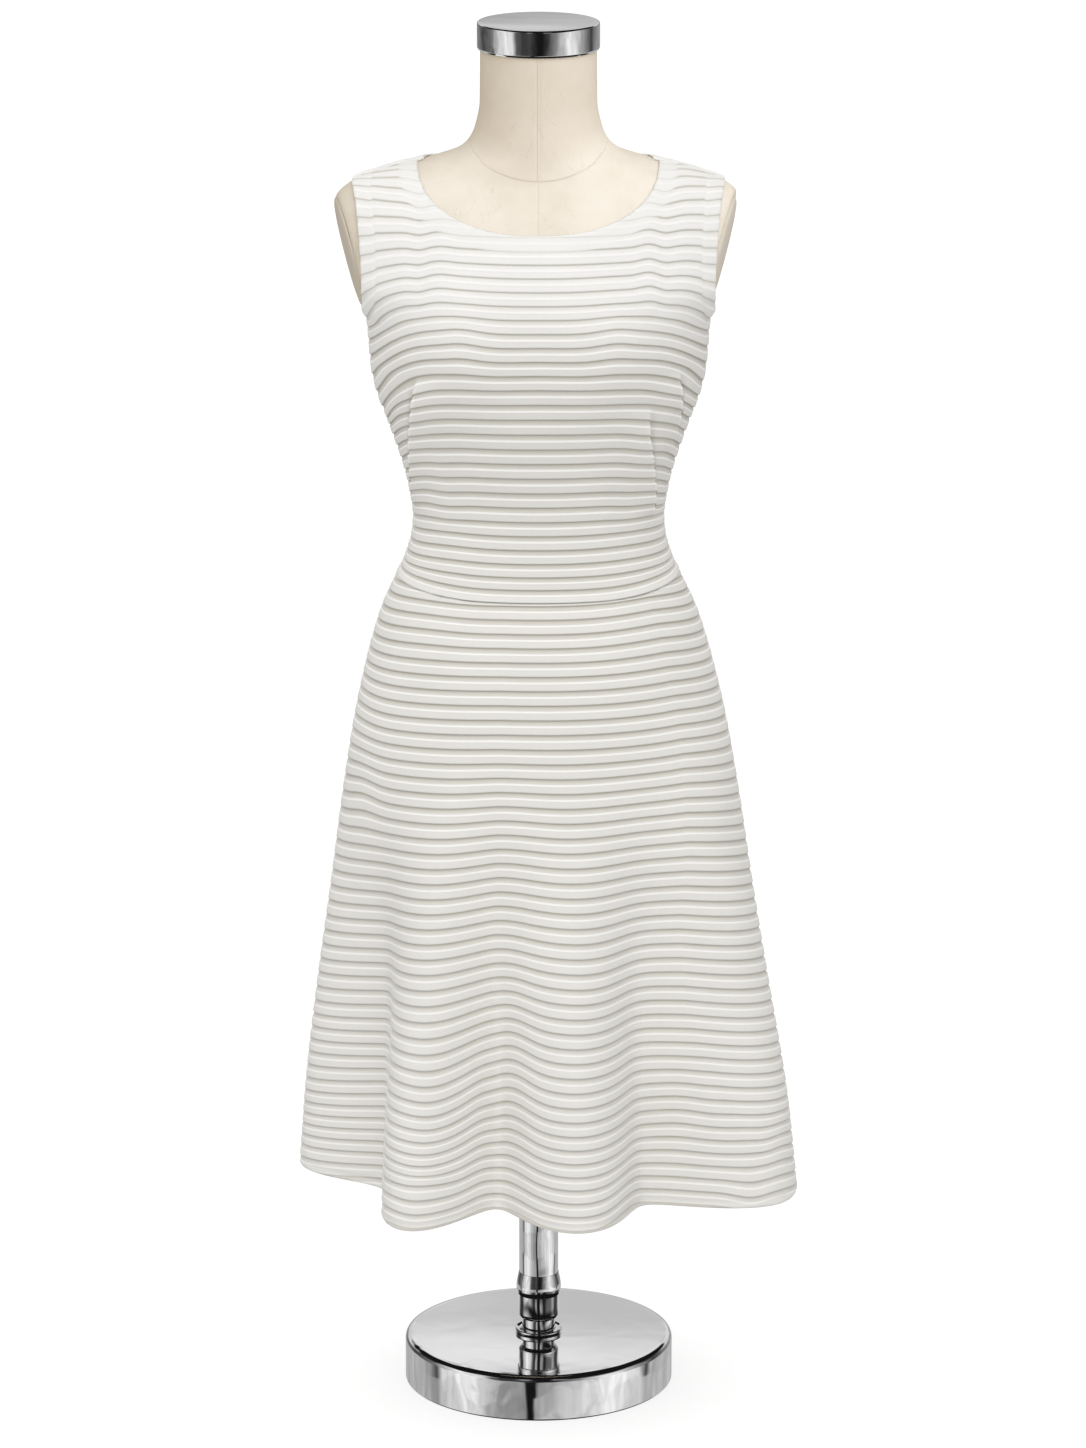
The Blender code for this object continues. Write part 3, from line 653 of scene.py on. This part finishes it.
def revolved(name, outline, steps, along_x=1.0, along_y=1.0):
    """A mesh round Z, stretched along X and Y. outline runs down the outer side and back to
    its start, or from the axis to the axis."""
    points, faces, count = [], [], len(outline)
    for i in range(steps):
        c, s = math.cos(2 * math.pi * i / steps), math.sin(2 * math.pi * i / steps)
        points += [(along_x * r * c, along_y * r * s, z) for r, z in outline]
        j = (i + 1) % steps
        for k in range(count if outline[0][0] > 0.0 else count - 1):
            m = (k + 1) % count
            faces.append((i * count + k, i * count + m, j * count + m, j * count + k))
    return mesh_from(name, points, faces)


def turned(name, outline, material, body, node, steps=160):
    mesh = revolved(name, outline, steps)
    tidy(mesh, 0.000005, 30.0)
    return add_object(name, mesh, material, body, node)


def rounded(corners, steps=5):
    """An outline with some corners rounded. Each corner is (radius, height, rounding)."""
    outline = []
    for i, (r, z, rounding) in enumerate(corners):
        if not rounding:
            outline.append((r, z))
            continue
        here = Vector((r, z))
        before = Vector(corners[i - 1][:2])
        after = Vector(corners[(i + 1) % len(corners)][:2])
        start = here + (before - here).normalized() * rounding
        end = here + (after - here).normalized() * rounding
        for k in range(steps + 1):
            u = k / steps
            point = start * (1 - u) ** 2 + here * 2 * u * (1 - u) + end * u * u
            outline.append((point.x, point.y))
    return outline


# ---- the dress form ----

def arm_plane(y, height):
    return ARM_REACH + ARM_LEAN * (height - ARMHOLE_MIDDLE) + ARM_TURN * y


def form_points(turn, height):
    """The form's surface, with its flat shoulder ends."""
    points = body_surface(turn, height)
    x, y = points[..., 0].copy(), points[..., 1]
    for sign in (-1, 1):
        plane = sign * arm_plane(y, height) + ARM_SHIFT
        over = sign * (x - plane)
        over = 0.5 * (over + np.sqrt(over ** 2 + ARM_ROUNDING ** 2)) - 0.2 * ARM_ROUNDING
        fade = ease_in(ARM_END_BOTTOM - 0.012, ARM_END_BOTTOM + 0.004, height)
        x = np.where(x * sign > 0, x - sign * np.maximum(over, 0.0) * fade, x)
    points[..., 0] = x
    return points


def above_neck_seam(points):
    """About the distance above the neck seam, along the form's surface."""
    y, z = points[..., 1], points[..., 2]
    places, heights = np.array(NECK_SEAM).T
    before, seam, after = (np.interp(y + step, places, heights) for step in (-0.001, 0.0, 0.001))
    return (z - seam) / np.hypot(1.0, (after - before) / 0.002)


def add_form(cover):
    turns = np.linspace(0, 1, 168, endpoint=False)
    # closer together at the seam down the middle
    near = np.array((0.0, 0.0006, 0.0014, 0.0026, 0.0042))
    turns = np.unique(np.concatenate(
        (turns, 0.25 + near, 0.25 - near, 0.75 + near, 0.75 - near)).round(6))
    heights = np.concatenate((np.linspace(FORM_BOTTOM, 1.05, 40, endpoint=False),
                              np.linspace(1.05, NECK_TOP, 120)))
    turn, height = np.meshgrid(turns, heights)
    points = form_points(turn, height).reshape(-1, 3)
    faces = grid_faces(len(heights), len(turns), closed=True)
    gap, roll, dent = 0.00006, 0.001, 0.0001
    pieces = []
    # the last is the seam down the middle: its depth, distance from the middle and width
    for name, node, sign, (deep, aside, wide) in (
            ("torso_cover", "form_torso", -1, (0.0002, 0.0, 0.0007)),
            ("neck_cover", "form_neck", 1, (0.0003, 0.0012, 0.0006))):
        cut, kept = clip(points, faces, sign * above_neck_seam(points) - gap)
        beyond = above_neck_seam(cut)
        inward = dent * (1 - ease_in(0.0, roll, np.abs(beyond)))
        inward += deep * bell(aside, wide, np.abs(cut[:, 0]))
        lines = np.stack((beyond * 100.0, cut[:, 0] * 100.0), axis=-1)
        cut[:, :2] *= 1 - (inward / np.hypot(cut[:, 0], cut[:, 1]))[:, None]
        mesh = mesh_from(name, cut, kept, seams=lines)
        tidy(mesh, 0.00002, 50.0, closed=True)
        pieces.append(add_object(name, mesh, cover, "form", node))
    return pieces


def add_arm_plates(material):
    """Oval plates with a low dome and a thin rim, a little in from the form's rounded end."""
    half = ARM_PLATE_THICKNESS / 2
    # share of the plate's half sizes, height over its middle plane
    outline = ((0.0, 1.1 * half), (0.5, 1.0 * half), (0.78, 0.8 * half), (0.9, 0.45 * half),
               (0.96, 0.0), (0.99, -0.5 * half), (1.0, -0.95 * half), (0.98, -half),
               (0.0, -half))
    pieces = []
    for side_name, sign in (("left", -1), ("right", 1)):
        mesh = revolved("arm_cover_" + side_name, outline, 96, ARM_PLATE_HALF_HEIGHT,
                        ARM_PLATE_HALF_WIDTH)
        out = Vector((sign, -ARM_TURN, -ARM_LEAN)).normalized()
        up = Vector((sign * ARM_LEAN, 0.0, 1.0)).normalized()
        turn = Matrix((up, out.cross(up), out)).transposed()
        middle = Vector((sign * arm_plane(0.0, ARM_PLATE_MIDDLE) + ARM_SHIFT, 0.0,
                         ARM_PLATE_MIDDLE)) + out * (half + 0.0001)
        mesh.transform(Matrix.Translation(middle) @ turn.to_4x4())
        tidy(mesh, 0.000005, 50.0)
        pieces.append(add_object(mesh.name, mesh, material, "form",
                                 "arm_plate_" + side_name))
    return pieces


def add_chrome():
    still = chrome("chrome_cap", 30.0, 0.0015, CAP_RADIUS - 0.003)
    smooth = chrome("chrome", 22.0, 0.003)
    wavy = chrome("chrome_foot", 20.0, 0.0018, BASE_RADIUS - 0.006)
    on_neck, on_foot = NECK_TOP + PIECE_GAP, BASE_HEIGHT + PIECE_GAP
    turned("cap", rounded((
        (0.0, CAP_TOP, 0), (CAP_RADIUS, CAP_TOP, 0.0022), (CAP_RADIUS, NECK_TOP + 0.0021, 0.0004),
        (CAP_RADIUS - 0.0009, on_neck, 0), (0.0, on_neck, 0))), still, "form", "neck_cap")
    turned("foot", rounded((
        (0.0, BASE_HEIGHT, 0), (BASE_RADIUS, BASE_HEIGHT, BASE_ROUNDING),
        (BASE_RADIUS, 0.0, 0.002), (0.0, 0.0, 0)), 8), wavy, "base", "base_plate", 224)
    top, bore = on_foot + FLANGE_HEIGHT, LOWER_TUBE_RADIUS + PIECE_GAP
    turned("flange", rounded((
        (bore, top - 0.001, 0.0003), (FLANGE_RADIUS - 0.003, top - 0.0014, 0.001),
        (FLANGE_RADIUS - 0.0008, top, 0.0007), (FLANGE_RADIUS, top - 0.0012, 0.0007),
        (FLANGE_RADIUS - 0.0004, on_foot, 0), (bore, on_foot, 0))),
        smooth, "base", "base_flange", 96)
    for name, node, body, radius, low, high in (
            ("lower_tube", "pole_lower", "base", LOWER_TUBE_RADIUS, on_foot, LOWER_TUBE_TOP),
            ("upper_tube", "pole_upper", "form", UPPER_TUBE_RADIUS, UPPER_TUBE_BOTTOM,
             UPPER_TUBE_TOP)):
        inner = radius - TUBE_WALL
        turned(name, ((radius, high), (radius, low), (inner, low), (inner, high)), smooth, body,
               node, 96)
    grip, slide = UPPER_TUBE_RADIUS + PIECE_GAP, LOWER_TUBE_RADIUS + 0.0004
    step = UPPER_TUBE_BOTTOM - PIECE_GAP
    turned("collar", rounded((
        (grip, COLLAR_TOP, 0), (grip + 0.0002, COLLAR_TOP - 0.001, 0.0006), *COLLAR_CORNERS,
        (slide + 0.0006, COLLAR_BOTTOM, 0.0006), (slide, COLLAR_BOTTOM, 0), (slide, step, 0),
        (grip, step, 0))), smooth, "form", "pole_collar", 112)


# ---- the dress ----

def rib_relief(rib):
    """Height of the cloth above RECESS for a rib's number, whole and part."""
    phase, height = np.array((*RIB_PROFILE, (1.0, RIB_PROFILE[0][1]))).T
    return RELIEF * np.interp(rib - np.floor(rib), phase, height)


def rib_rows(first, last):
    """Rib numbers of a grid's rows, from one whole number to another."""
    phase = np.array(RIB_PROFILE)[:, 0]
    return np.append((np.arange(first, last)[:, None] + phase).ravel(), last)


def up_and_over(x, low, side, lengths):
    """y and z after some lengths of cloth, up from height low at x and over the shoulder."""
    heights = np.linspace(1.15, 1.217, 68)
    ridge = np.interp(-abs(x), -curve(BODY, heights, 1), heights)
    up = low + (ridge - low) * (1 - (1 - np.linspace(0, 1, 120)) ** 2)
    down = ridge - 0.03 * np.linspace(0, 1, 30)[1:] ** 2
    z = np.concatenate((up, down, [down[-1] - 1.0]))
    y = np.concatenate((body_depth(x, up, side), body_depth(x, down, -side)))
    y = np.append(y, y[-1])
    along = np.concatenate(([0.0], np.cumsum(np.hypot(np.diff(y), np.diff(z)))))
    return np.interp(lengths, along, y), np.interp(lengths, along, z)


def waist_seam(off):
    """The seam's height, by turn from the middle of a panel. It rises towards the sides."""
    return WAIST_SEAM - WAIST_DROP + WAIST_LIFT * ease_in(0.06, 0.25, off)


def rib_places(rib, turn, middle):
    """Points on the body for rib numbers and turns. Ribs stay level over the shoulders."""
    off, left = halves(turn, middle)
    centre = curve(BODICE_RIBS, np.minimum(rib, UPPER_FROM), 1)
    drop = either(BODICE_DROOP, centre, 1, left) \
        * ease_in(curve(BODICE_DROOP, centre, 3), 0.245, off)
    height = centre - drop
    # the lowest rib's edge is the waist seam, which rises towards the sides
    lift = waist_seam(off) + SEAM_GAP
    height += (lift - BODICE_RIBS[1][1]) * (1 - ease_in(0.0, 3.0, rib))
    if middle < 0.5:
        x = body_surface(turn, height)[..., 0]
        for at, width, rise, _ in WAVES:
            height += rise * bell(at, width, x) * ease_in(1.06, 1.11, centre)
        height += BUST_RISE * bell(0.066, 0.024, off) * bell(1.048, 0.028, centre)
        for at, width, rise, start, full, fade, end in BODICE_SHIFTS:
            height += rise * bell(at, width, off) * ease_in(start, full, centre) \
                * ease_in(end, fade, centre)
        height -= PLEAT_SINK * pleat_share(off, left, height)[1]
    points = body_surface(turn, height)
    counted = rib[:, 0] > UPPER_FROM
    lengths = (rib[counted, 0] - UPPER_FROM) * UPPER_PERIOD
    regained = 1 - np.interp(rib[counted, 0], *np.array(UPPER_DROOP).T)
    last = np.flatnonzero(~counted)[-1]
    for j in range(turn.shape[1]):
        x, _, low = points[last, j]
        y, z = up_and_over(x, low, -1 if middle < 0.5 else 1, lengths + regained * drop[last, j])
        points[counted, j] = np.stack((np.full_like(y, x), y, z), axis=-1)
    return points


def pleat_share(off, left, height):
    """How far the side folds stand out, how much of a place lies outside a fold's edge, and
    the painted light along that edge and the painted shade behind it."""
    reach, outside, rim = np.zeros((3, *off.shape))
    for side, rows in PLEATS:
        heights, edges, reaches = np.array(rows).T
        most = curve(rows, height, 2)
        here = left == (side == 1)
        beyond = off - np.interp(height, heights, edges)
        inner = bell(0.0, PLEAT_WIDTH, np.minimum(beyond, 0.0))
        fall = ease_in(-0.0006, 0.0026, beyond)
        reach += np.where(here, most * inner * (1 - fall), 0.0)
        share = most / max(reaches)
        outside = np.maximum(outside, np.where(here, fall * share, 0.0))
        # painted light just inside a fold's edge, painted shade beyond it
        rim += np.where(here, share * (bell(-0.0018, 0.002, beyond)
                                       - bell(0.0055, 0.0045, beyond)), 0.0)
    return reach, outside, rim


def neckline_level(points, depth):
    """Signed share beyond the neckline: above 0 on the cloth."""
    across = (np.abs(points[..., 0]) / NECKLINE_HALF_WIDTH) ** NECKLINE_POWER
    down = (np.maximum(NECKLINE_TOP - points[..., 2], 0.0) / depth) ** NECKLINE_POWER
    return (across + down) ** (1 / NECKLINE_POWER) - 1.0


def armhole_level(points):
    """About the distance from the armhole's edge in metres: above 0 on the cloth."""
    x, y, z = np.abs(points[..., 0]), points[..., 1], points[..., 2]
    oval = np.sqrt((y / ARMHOLE_HALF_WIDTH) ** 2
                   + ((z - ARMHOLE_MIDDLE) / ARMHOLE_HALF_HEIGHT) ** 2)
    outside = (oval - 1.0) * ARMHOLE_HALF_HEIGHT
    within = ARMHOLE_REACH - ARMHOLE_TRIM + ARMHOLE_LEAN * (z - ARMHOLE_MIDDLE) - x
    return 0.5 * (outside + within + np.sqrt((outside - within) ** 2 + ARMHOLE_CORNER ** 2))


def distance(level, points):
    """A level's value divided by its slope over the cloth, so that it is in metres."""
    across, up = np.gradient(points, axis=1), np.gradient(points, axis=0)
    level_across, level_up = np.gradient(level, axis=1), np.gradient(level, axis=0)
    aa, bb, ab = (across ** 2).sum(-1), (up ** 2).sum(-1), (across * up).sum(-1)
    area = np.maximum(aa * bb - ab ** 2, 1e-16)
    slope = (bb * level_across ** 2 - 2 * ab * level_across * level_up
             + aa * level_up ** 2) / area
    return np.clip(level / np.sqrt(np.maximum(slope, 1e-6)), -0.05, 0.05)


def add_cloth(name, points, faces, ribs, plain, merged, material, **sheet):
    mesh = mesh_from(name, points, faces, ribs=ribs, plain=plain)
    tidy(mesh, merged, 75.0)
    item = add_object(name + "_cloth", mesh, material, "form", name)
    return item


def add_bodice(name, middle, depth, columns, material, flat, area):
    # columns lie closer together where the side folds are
    even = np.linspace(-1.0, 1.0, 801)
    crowd = np.cumsum(1.0 + 1.5 * bell(0.61, 0.17, np.abs(even)))
    share = np.interp(np.linspace(crowd[0], crowd[-1], columns), crowd, even)
    rib, turn = np.meshgrid(rib_rows(0, 38), middle + BODICE_REACH * share, indexing="ij")
    points = rib_places(rib, turn, middle)
    normal = np.cross(np.gradient(points, axis=0), np.gradient(points, axis=1))
    normal /= np.maximum(np.linalg.norm(normal, axis=-1, keepdims=True), 1e-12)
    neck = distance(neckline_level(points, depth), points)
    arm = distance(armhole_level(points), points)
    x, y, z = np.moveaxis(points, -1, 0)
    side = (-y if middle < 0.5 else y) - SEAM_GAP
    stand, rim = np.zeros((2, *rib.shape))
    if middle < 0.5:
        stand, _, rim = pleat_share(*halves(turn, middle), z)
        for at, width, _, reach in WAVES:
            stand += reach * bell(at, width, x) * ease_in(1.06, 1.12, z)
    rows = np.concatenate((points, normal,
                           np.stack((rib, turn, neck, arm, side, stand, rim), axis=-1)),
                          axis=-1).reshape(-1, 13)
    faces = grid_faces(*rib.shape)
    # cut at the neck, the armholes and the side seams
    for column in (8, 9, 10):
        rows, faces = clip(rows, faces, rows[:, column])
    rib, turn, neck, arm, side, stand, rim = rows[:, 6:13].T
    edge = np.minimum(neck, arm)
    hemmed = 1 - ease_in(TURNED_EDGE - 0.002, TURNED_EDGE + 0.002, edge)
    at_neck = ease_in(-0.004, 0.004, arm - neck)
    rib = rib + 0.1 * hemmed
    offset = RECESS + rib_relief(rib) * (1 - (EDGE_FADE + NECK_FADE * at_neck) * hemmed) + stand
    offset += EDGE_RISE * hemmed - STITCH_DEPTH * bell(TURNED_EDGE, STITCH_WIDTH, edge)
    offset += WAIST_RISE * ease_in(0.75, 0.15, rib)
    roll = np.clip(edge / EDGE_ROLL, 0.0, 1.0)
    offset = EDGE_FLOOR + (offset - EDGE_FLOOR) * np.sqrt(roll * (2 - roll))
    offset -= SEAM_DIP * (1 - ease_in(0.0, SEAM_EASE, side))
    plain = np.maximum((0.05 + 0.5 * at_neck) * hemmed, 0.35 * ease_in(0.52, 0.42, rib))
    item = add_cloth(name, rows[:, :3] + rows[:, 3:6] * offset[:, None], faces,
                     np.stack((turn * 8.0, rib), axis=-1), np.stack((plain, rim), axis=-1),
                     0.00004, material, flat=flat, held="draped", area=area)
    shell = item.modifiers.new("Cloth", "SOLIDIFY")
    shell.thickness = CLOTH
    shell.offset = -1.0
    return item


def skirt_heights(rib, turn, middle):
    """Where each rib runs on the skirt. rib is counted down from the waist seam."""
    centre = curve(SKIRT_RIBS, rib, 1)
    off, left = halves(turn, middle)
    start = either(SKIRT_DROOP, centre, 3, left) if middle < 0.5 else 0.06
    u = np.clip((off - start) / (0.25 - start), 0.0, 1.0)
    height = centre - either(SKIRT_DROOP, centre, 1, left) * u ** 1.15
    if middle < 0.5:
        x = skirt_surface(turn, np.clip(height, HEM, WAIST_SEAM))[..., 0]
        shift = sum(rise * bell(at, width, x) * bell(level, tall, height)
                    for at, level, width, tall, rise in RIB_SHIFTS)
        # near the side seam at -X these fade, and the lowest ribs rise
        behind = ease_in(0.135, 0.16, np.where(left, off, 0.0))
        shift = shift * (1 - behind * ease_in(0.6, 0.44, height))
        height = height + shift + 0.0075 * behind * ease_in(0.4, 0.31, height)
    return height


def add_skirt(name, middle, columns, material, flat, area):
    # counted up, so that a rib's profile runs the same way as on the bodice
    up = rib_rows(-45, 2)
    rib, turn = np.meshgrid(up, middle + np.linspace(-SKIRT_REACH, SKIRT_REACH, columns),
                            indexing="ij")
    top = waist_seam(np.abs(turn - middle)) - SEAM_GAP
    bottom = np.full_like(turn, HEM)
    if middle < 0.5:
        x = skirt_surface(turn, bottom)[..., 0]
        bottom += 0.0032 * bell(-0.046, 0.028, x) - 0.0026 * bell(-0.118, 0.036, x)
    height = np.clip(skirt_heights(-rib, turn, middle), bottom, top)
    points = skirt_surface(turn, height)
    normal = outward(skirt_surface, turn, height)
    above_hem, below_top = height - bottom, top - height
    # the last recess and the thin rolled edge under it
    hem_edge = RELIEF * (0.15 + 0.75 * ease_in(0.0048, 0.002, above_hem))
    relief = hem_edge + (rib_relief(rib) - hem_edge) * ease_in(0.006, 0.0095, above_hem)
    relief *= ease_in(0.0, WAIST_EASE, below_top)
    offset = RECESS + relief - SEAM_DIP * (1 - ease_in(0.0, SEAM_EASE, np.abs(points[..., 1])))
    roll = np.clip(above_hem / HEM_ROLL, 0.0, 1.0)
    offset -= HEM_ROLL_DEPTH * (1 - np.sqrt(roll * (2 - roll)))
    outer = points + normal * offset[..., None]
    # the inner face needs only two rows a rib
    last = len(up) - 1
    kept = [0, *(i for i in range(1, last) if i % len(RIB_PROFILE) in (2, 6)), last]
    inner = points[kept] + normal[kept] * (offset[kept, :, None] * LINING_SHARE)
    count, wide = rib.shape
    few = len(kept)
    start = count * wide
    faces = grid_faces(count, wide)
    faces += [tuple(start + i for i in reversed(f)) for f in grid_faces(few, wide)]
    for j in range(wide - 1):
        faces.append((j, j + 1, start + j + 1, start + j))
        a, b = (count - 1) * wide + j, start + (few - 1) * wide + j
        faces.append((a + 1, a, b, b + 1))
    for k, (low, high) in enumerate(zip(kept, kept[1:])):
        for j, flip in ((0, False), (wide - 1, True)):
            face = [r * wide + j for r in range(low, high + 1)]
            face += [start + (k + 1) * wide + j, start + k * wide + j]
            faces.append(tuple(reversed(face)) if flip else tuple(face))
    uv = np.stack((turn * 8.0, rib), axis=-1)
    uv = np.concatenate((uv.reshape(-1, 2), uv[kept].reshape(-1, 2)))
    return add_cloth(name, np.concatenate((outer.reshape(-1, 3), inner.reshape(-1, 3))), faces,
                     uv, np.zeros_like(uv), 0.00001, material, flat=flat, held="hung", area=area)


# ---- the studio ----

WORLD_LIGHT = 0.78
SUN_SOFTNESS = 60.0  # degrees
CAMERA_PLACE = (0.0042, -6.567, 2.435)
CAMERA_TILT = 15.13  # degrees below level
WHITE = (1.0, 1.0, 1.0, 1.0)

# what polished metal sees: brightness by bearing, 0 towards the camera and 90 to its right
FOOT_RING = (
    # bearing, brightness
    (-180, 0.5), (-126, 0.5), (-106, 0.42), (-99, 0.3), (-91, 0.72), (-68, 0.9), (-54, 0.75),
    (-41, 0.45), (-24, 0.38), (-14, 0.3), (-12, 0.01), (-6, 0.01), (-4, 0.45), (10, 0.5),
    (24, 0.6), (44, 0.75), (64, 1.0), (84, 0.7), (97, 0.6), (106, 0.4), (114, 0.55),
    (180, 0.55),
)
LOW_RING = (
    (-180, 0.5), (-126, 0.48), (-108, 0.38), (-99, 0.05), (-91, 0.8), (-68, 1.0), (-54, 0.82),
    (-41, 0.56), (-24, 0.4), (-14, 0.32), (-12, 0.01), (-4, 0.01), (-2, 0.34), (20, 0.45),
    (44, 0.78), (64, 1.0), (84, 0.9), (97, 0.6), (105, 0.03), (113, 0.5), (180, 0.5),
)
MIDDLE_RING = (
    (-180, 0.52), (-150, 0.2), (-128, 0.06), (-99, 0.18), (-86, 0.58), (-66, 1.0), (-51, 0.78),
    (-42, 0.14), (-30, 0.04), (-13, 0.07), (-3, 0.01), (8, 0.01), (16, 0.04), (34, 0.3),
    (54, 0.78), (65, 0.97), (86, 0.42), (114, 0.05), (140, 0.28), (180, 0.52),
)
HIGH_RING = (
    (-180, 0.76), (-150, 0.72), (-126, 0.05), (-103, 0.04), (-88, 0.7), (-68, 1.0), (-54, 0.8),
    (-42, 0.3), (-32, 0.04), (-22, 0.04), (-15, 0.48), (-9, 0.4), (-6, 0.01), (8, 0.01),
    (12, 0.42), (20, 0.36), (28, 0.02), (36, 0.02), (45, 0.12), (72, 0.18), (86, 0.45),
    (104, 0.04), (128, 0.08), (150, 0.74), (180, 0.76),
)


def add_world():
    world = bpy.data.worlds.new("studio")
    bpy.context.scene.world = world
    world.use_nodes = True
    n = Nodes(world.node_tree)
    where = n.where("Generated")
    x, y, up = n.parts(where)[:3]
    # the bearing is counted from -Y, where the camera is, towards +X
    bearing = n.maths("ARCTAN2", x, n.maths("MULTIPLY", y, -1.0))
    share = n.spread(bearing, -math.pi, math.pi, way="LINEAR")
    # upwards: the floor, the four rings and the ceiling
    room = (0.015, 0.015, 0.015, 1.0)
    for low, high, stops in ((-0.6, -0.54, FOOT_RING), (-0.339, -0.333, LOW_RING),
                             (-0.27, -0.21, MIDDLE_RING), (0.17, 0.26, HIGH_RING)):
        ring = n.ramp(share, [(degrees / 360.0 + 0.5, (value,) * 3) for degrees, value in stops])
        room = n.mix(n.spread(up, low, high, way="LINEAR"), room, ring)
    room = n.mix(n.spread(up, 0.39, 0.45, way="LINEAR"), room, (0.008, 0.008, 0.008, 1.0))
    # uneven, as a real room is
    uneven = n.spread(n.noise(where, 7.0), 0.3, 0.7, 0.72, 1.12, "LINEAR")
    path = n.add("ShaderNodeLightPath")
    seen, in_metal, behind = (
        n.add("ShaderNodeBackground", {0: colour, 1: strength})[0]
        for colour, strength in ((WHITE, WORLD_LIGHT), (room, uneven), (WHITE, 1.0)))
    for ray, light in (("Is Glossy Ray", in_metal), ("Is Camera Ray", behind)):
        seen = n.add("ShaderNodeMixShader", {0: path[ray], 1: seen, 2: light})[0]
    n.tree.links.new(seen, n.tree.nodes["World Output"].inputs[0])


def add_sun(name, direction, strength, colour, only):
    """A soft sun that lights only some of the pieces."""
    light = bpy.data.lights.new(name, "SUN")
    light.energy = strength
    light.color = colour
    light.angle = math.radians(SUN_SOFTNESS)
    lamp = placed(name, light)
    lamp.rotation_euler = Vector(direction).to_track_quat("-Z", "Y").to_euler()
    lamp.location = (0.0, 0.0, 3.0)
    lit = bpy.data.collections.new(name + "_lights")
    for item in only:
        lit.objects.link(item)
    lamp.light_linking.receiver_collection = lit


def add_studio(dress, form):
    corners = ((-30, -30, 0), (30, -30, 0), (30, 30, 0), (-30, 30, 0))
    floor = placed("floor", mesh_from("floor", corners, ((0, 1, 2, 3),)))
    n = Surface("floor", (0.54, 0.54, 0.54), 0.9, emission_color=WHITE, specular_ior_level=0.0)
    # a sweep that is lit to white in the picture, and gives back less light than that
    seen = n.add("ShaderNodeLightPath")["Is Camera Ray"]
    n.feed("Emission Strength", n.spread(seen, 0.0, 1.0, 0.27, 0.7))
    floor.data.materials.append(n.material)
    floor.visible_glossy = False
    add_world()
    add_sun("front", (0.1, 1.0, -1.1), 1.05, WHITE[:3], dress)
    add_sun("form_key", (-0.34, 0.68, -0.66), 1.88, (0.92, 1.02, 1.24), form)

    camera = bpy.data.cameras.new("camera")
    camera.sensor_fit = "VERTICAL"
    camera.sensor_height = 36.0
    camera.lens = 177.09
    camera.clip_end = 200.0
    eye = placed("camera", camera)
    eye.location = CAMERA_PLACE
    eye.rotation_euler = (math.radians(90.0 - CAMERA_TILT), 0.0, 0.0)
    bpy.context.scene.camera = eye
    bpy.context.scene.view_settings.view_transform = "Standard"


form_pieces = add_form(form_cover()) + add_arm_plates(arm_cover())
add_chrome()
ribbed = ribbed_cloth()
dress_pieces = [
    add_bodice("bodice_front", 0.25, FRONT_NECK_DEPTH, 190, ribbed, (0.45, 0.41), 0.148),
    add_bodice("bodice_back", 0.75, BACK_NECK_DEPTH, 160, ribbed, (0.43, 0.42), 0.153),
    add_skirt("skirt_front", 0.25, 205, ribbed, (0.86, 0.62), 0.364),
    add_skirt("skirt_back", 0.75, 170, ribbed, (0.8, 0.62), 0.348),
]
for skirt in dress_pieces[2:]:
    # the foot's polished edge sees the dark under the skirt, and not its lit inner side
    skirt.visible_glossy = False
add_studio(dress_pieces, form_pieces)
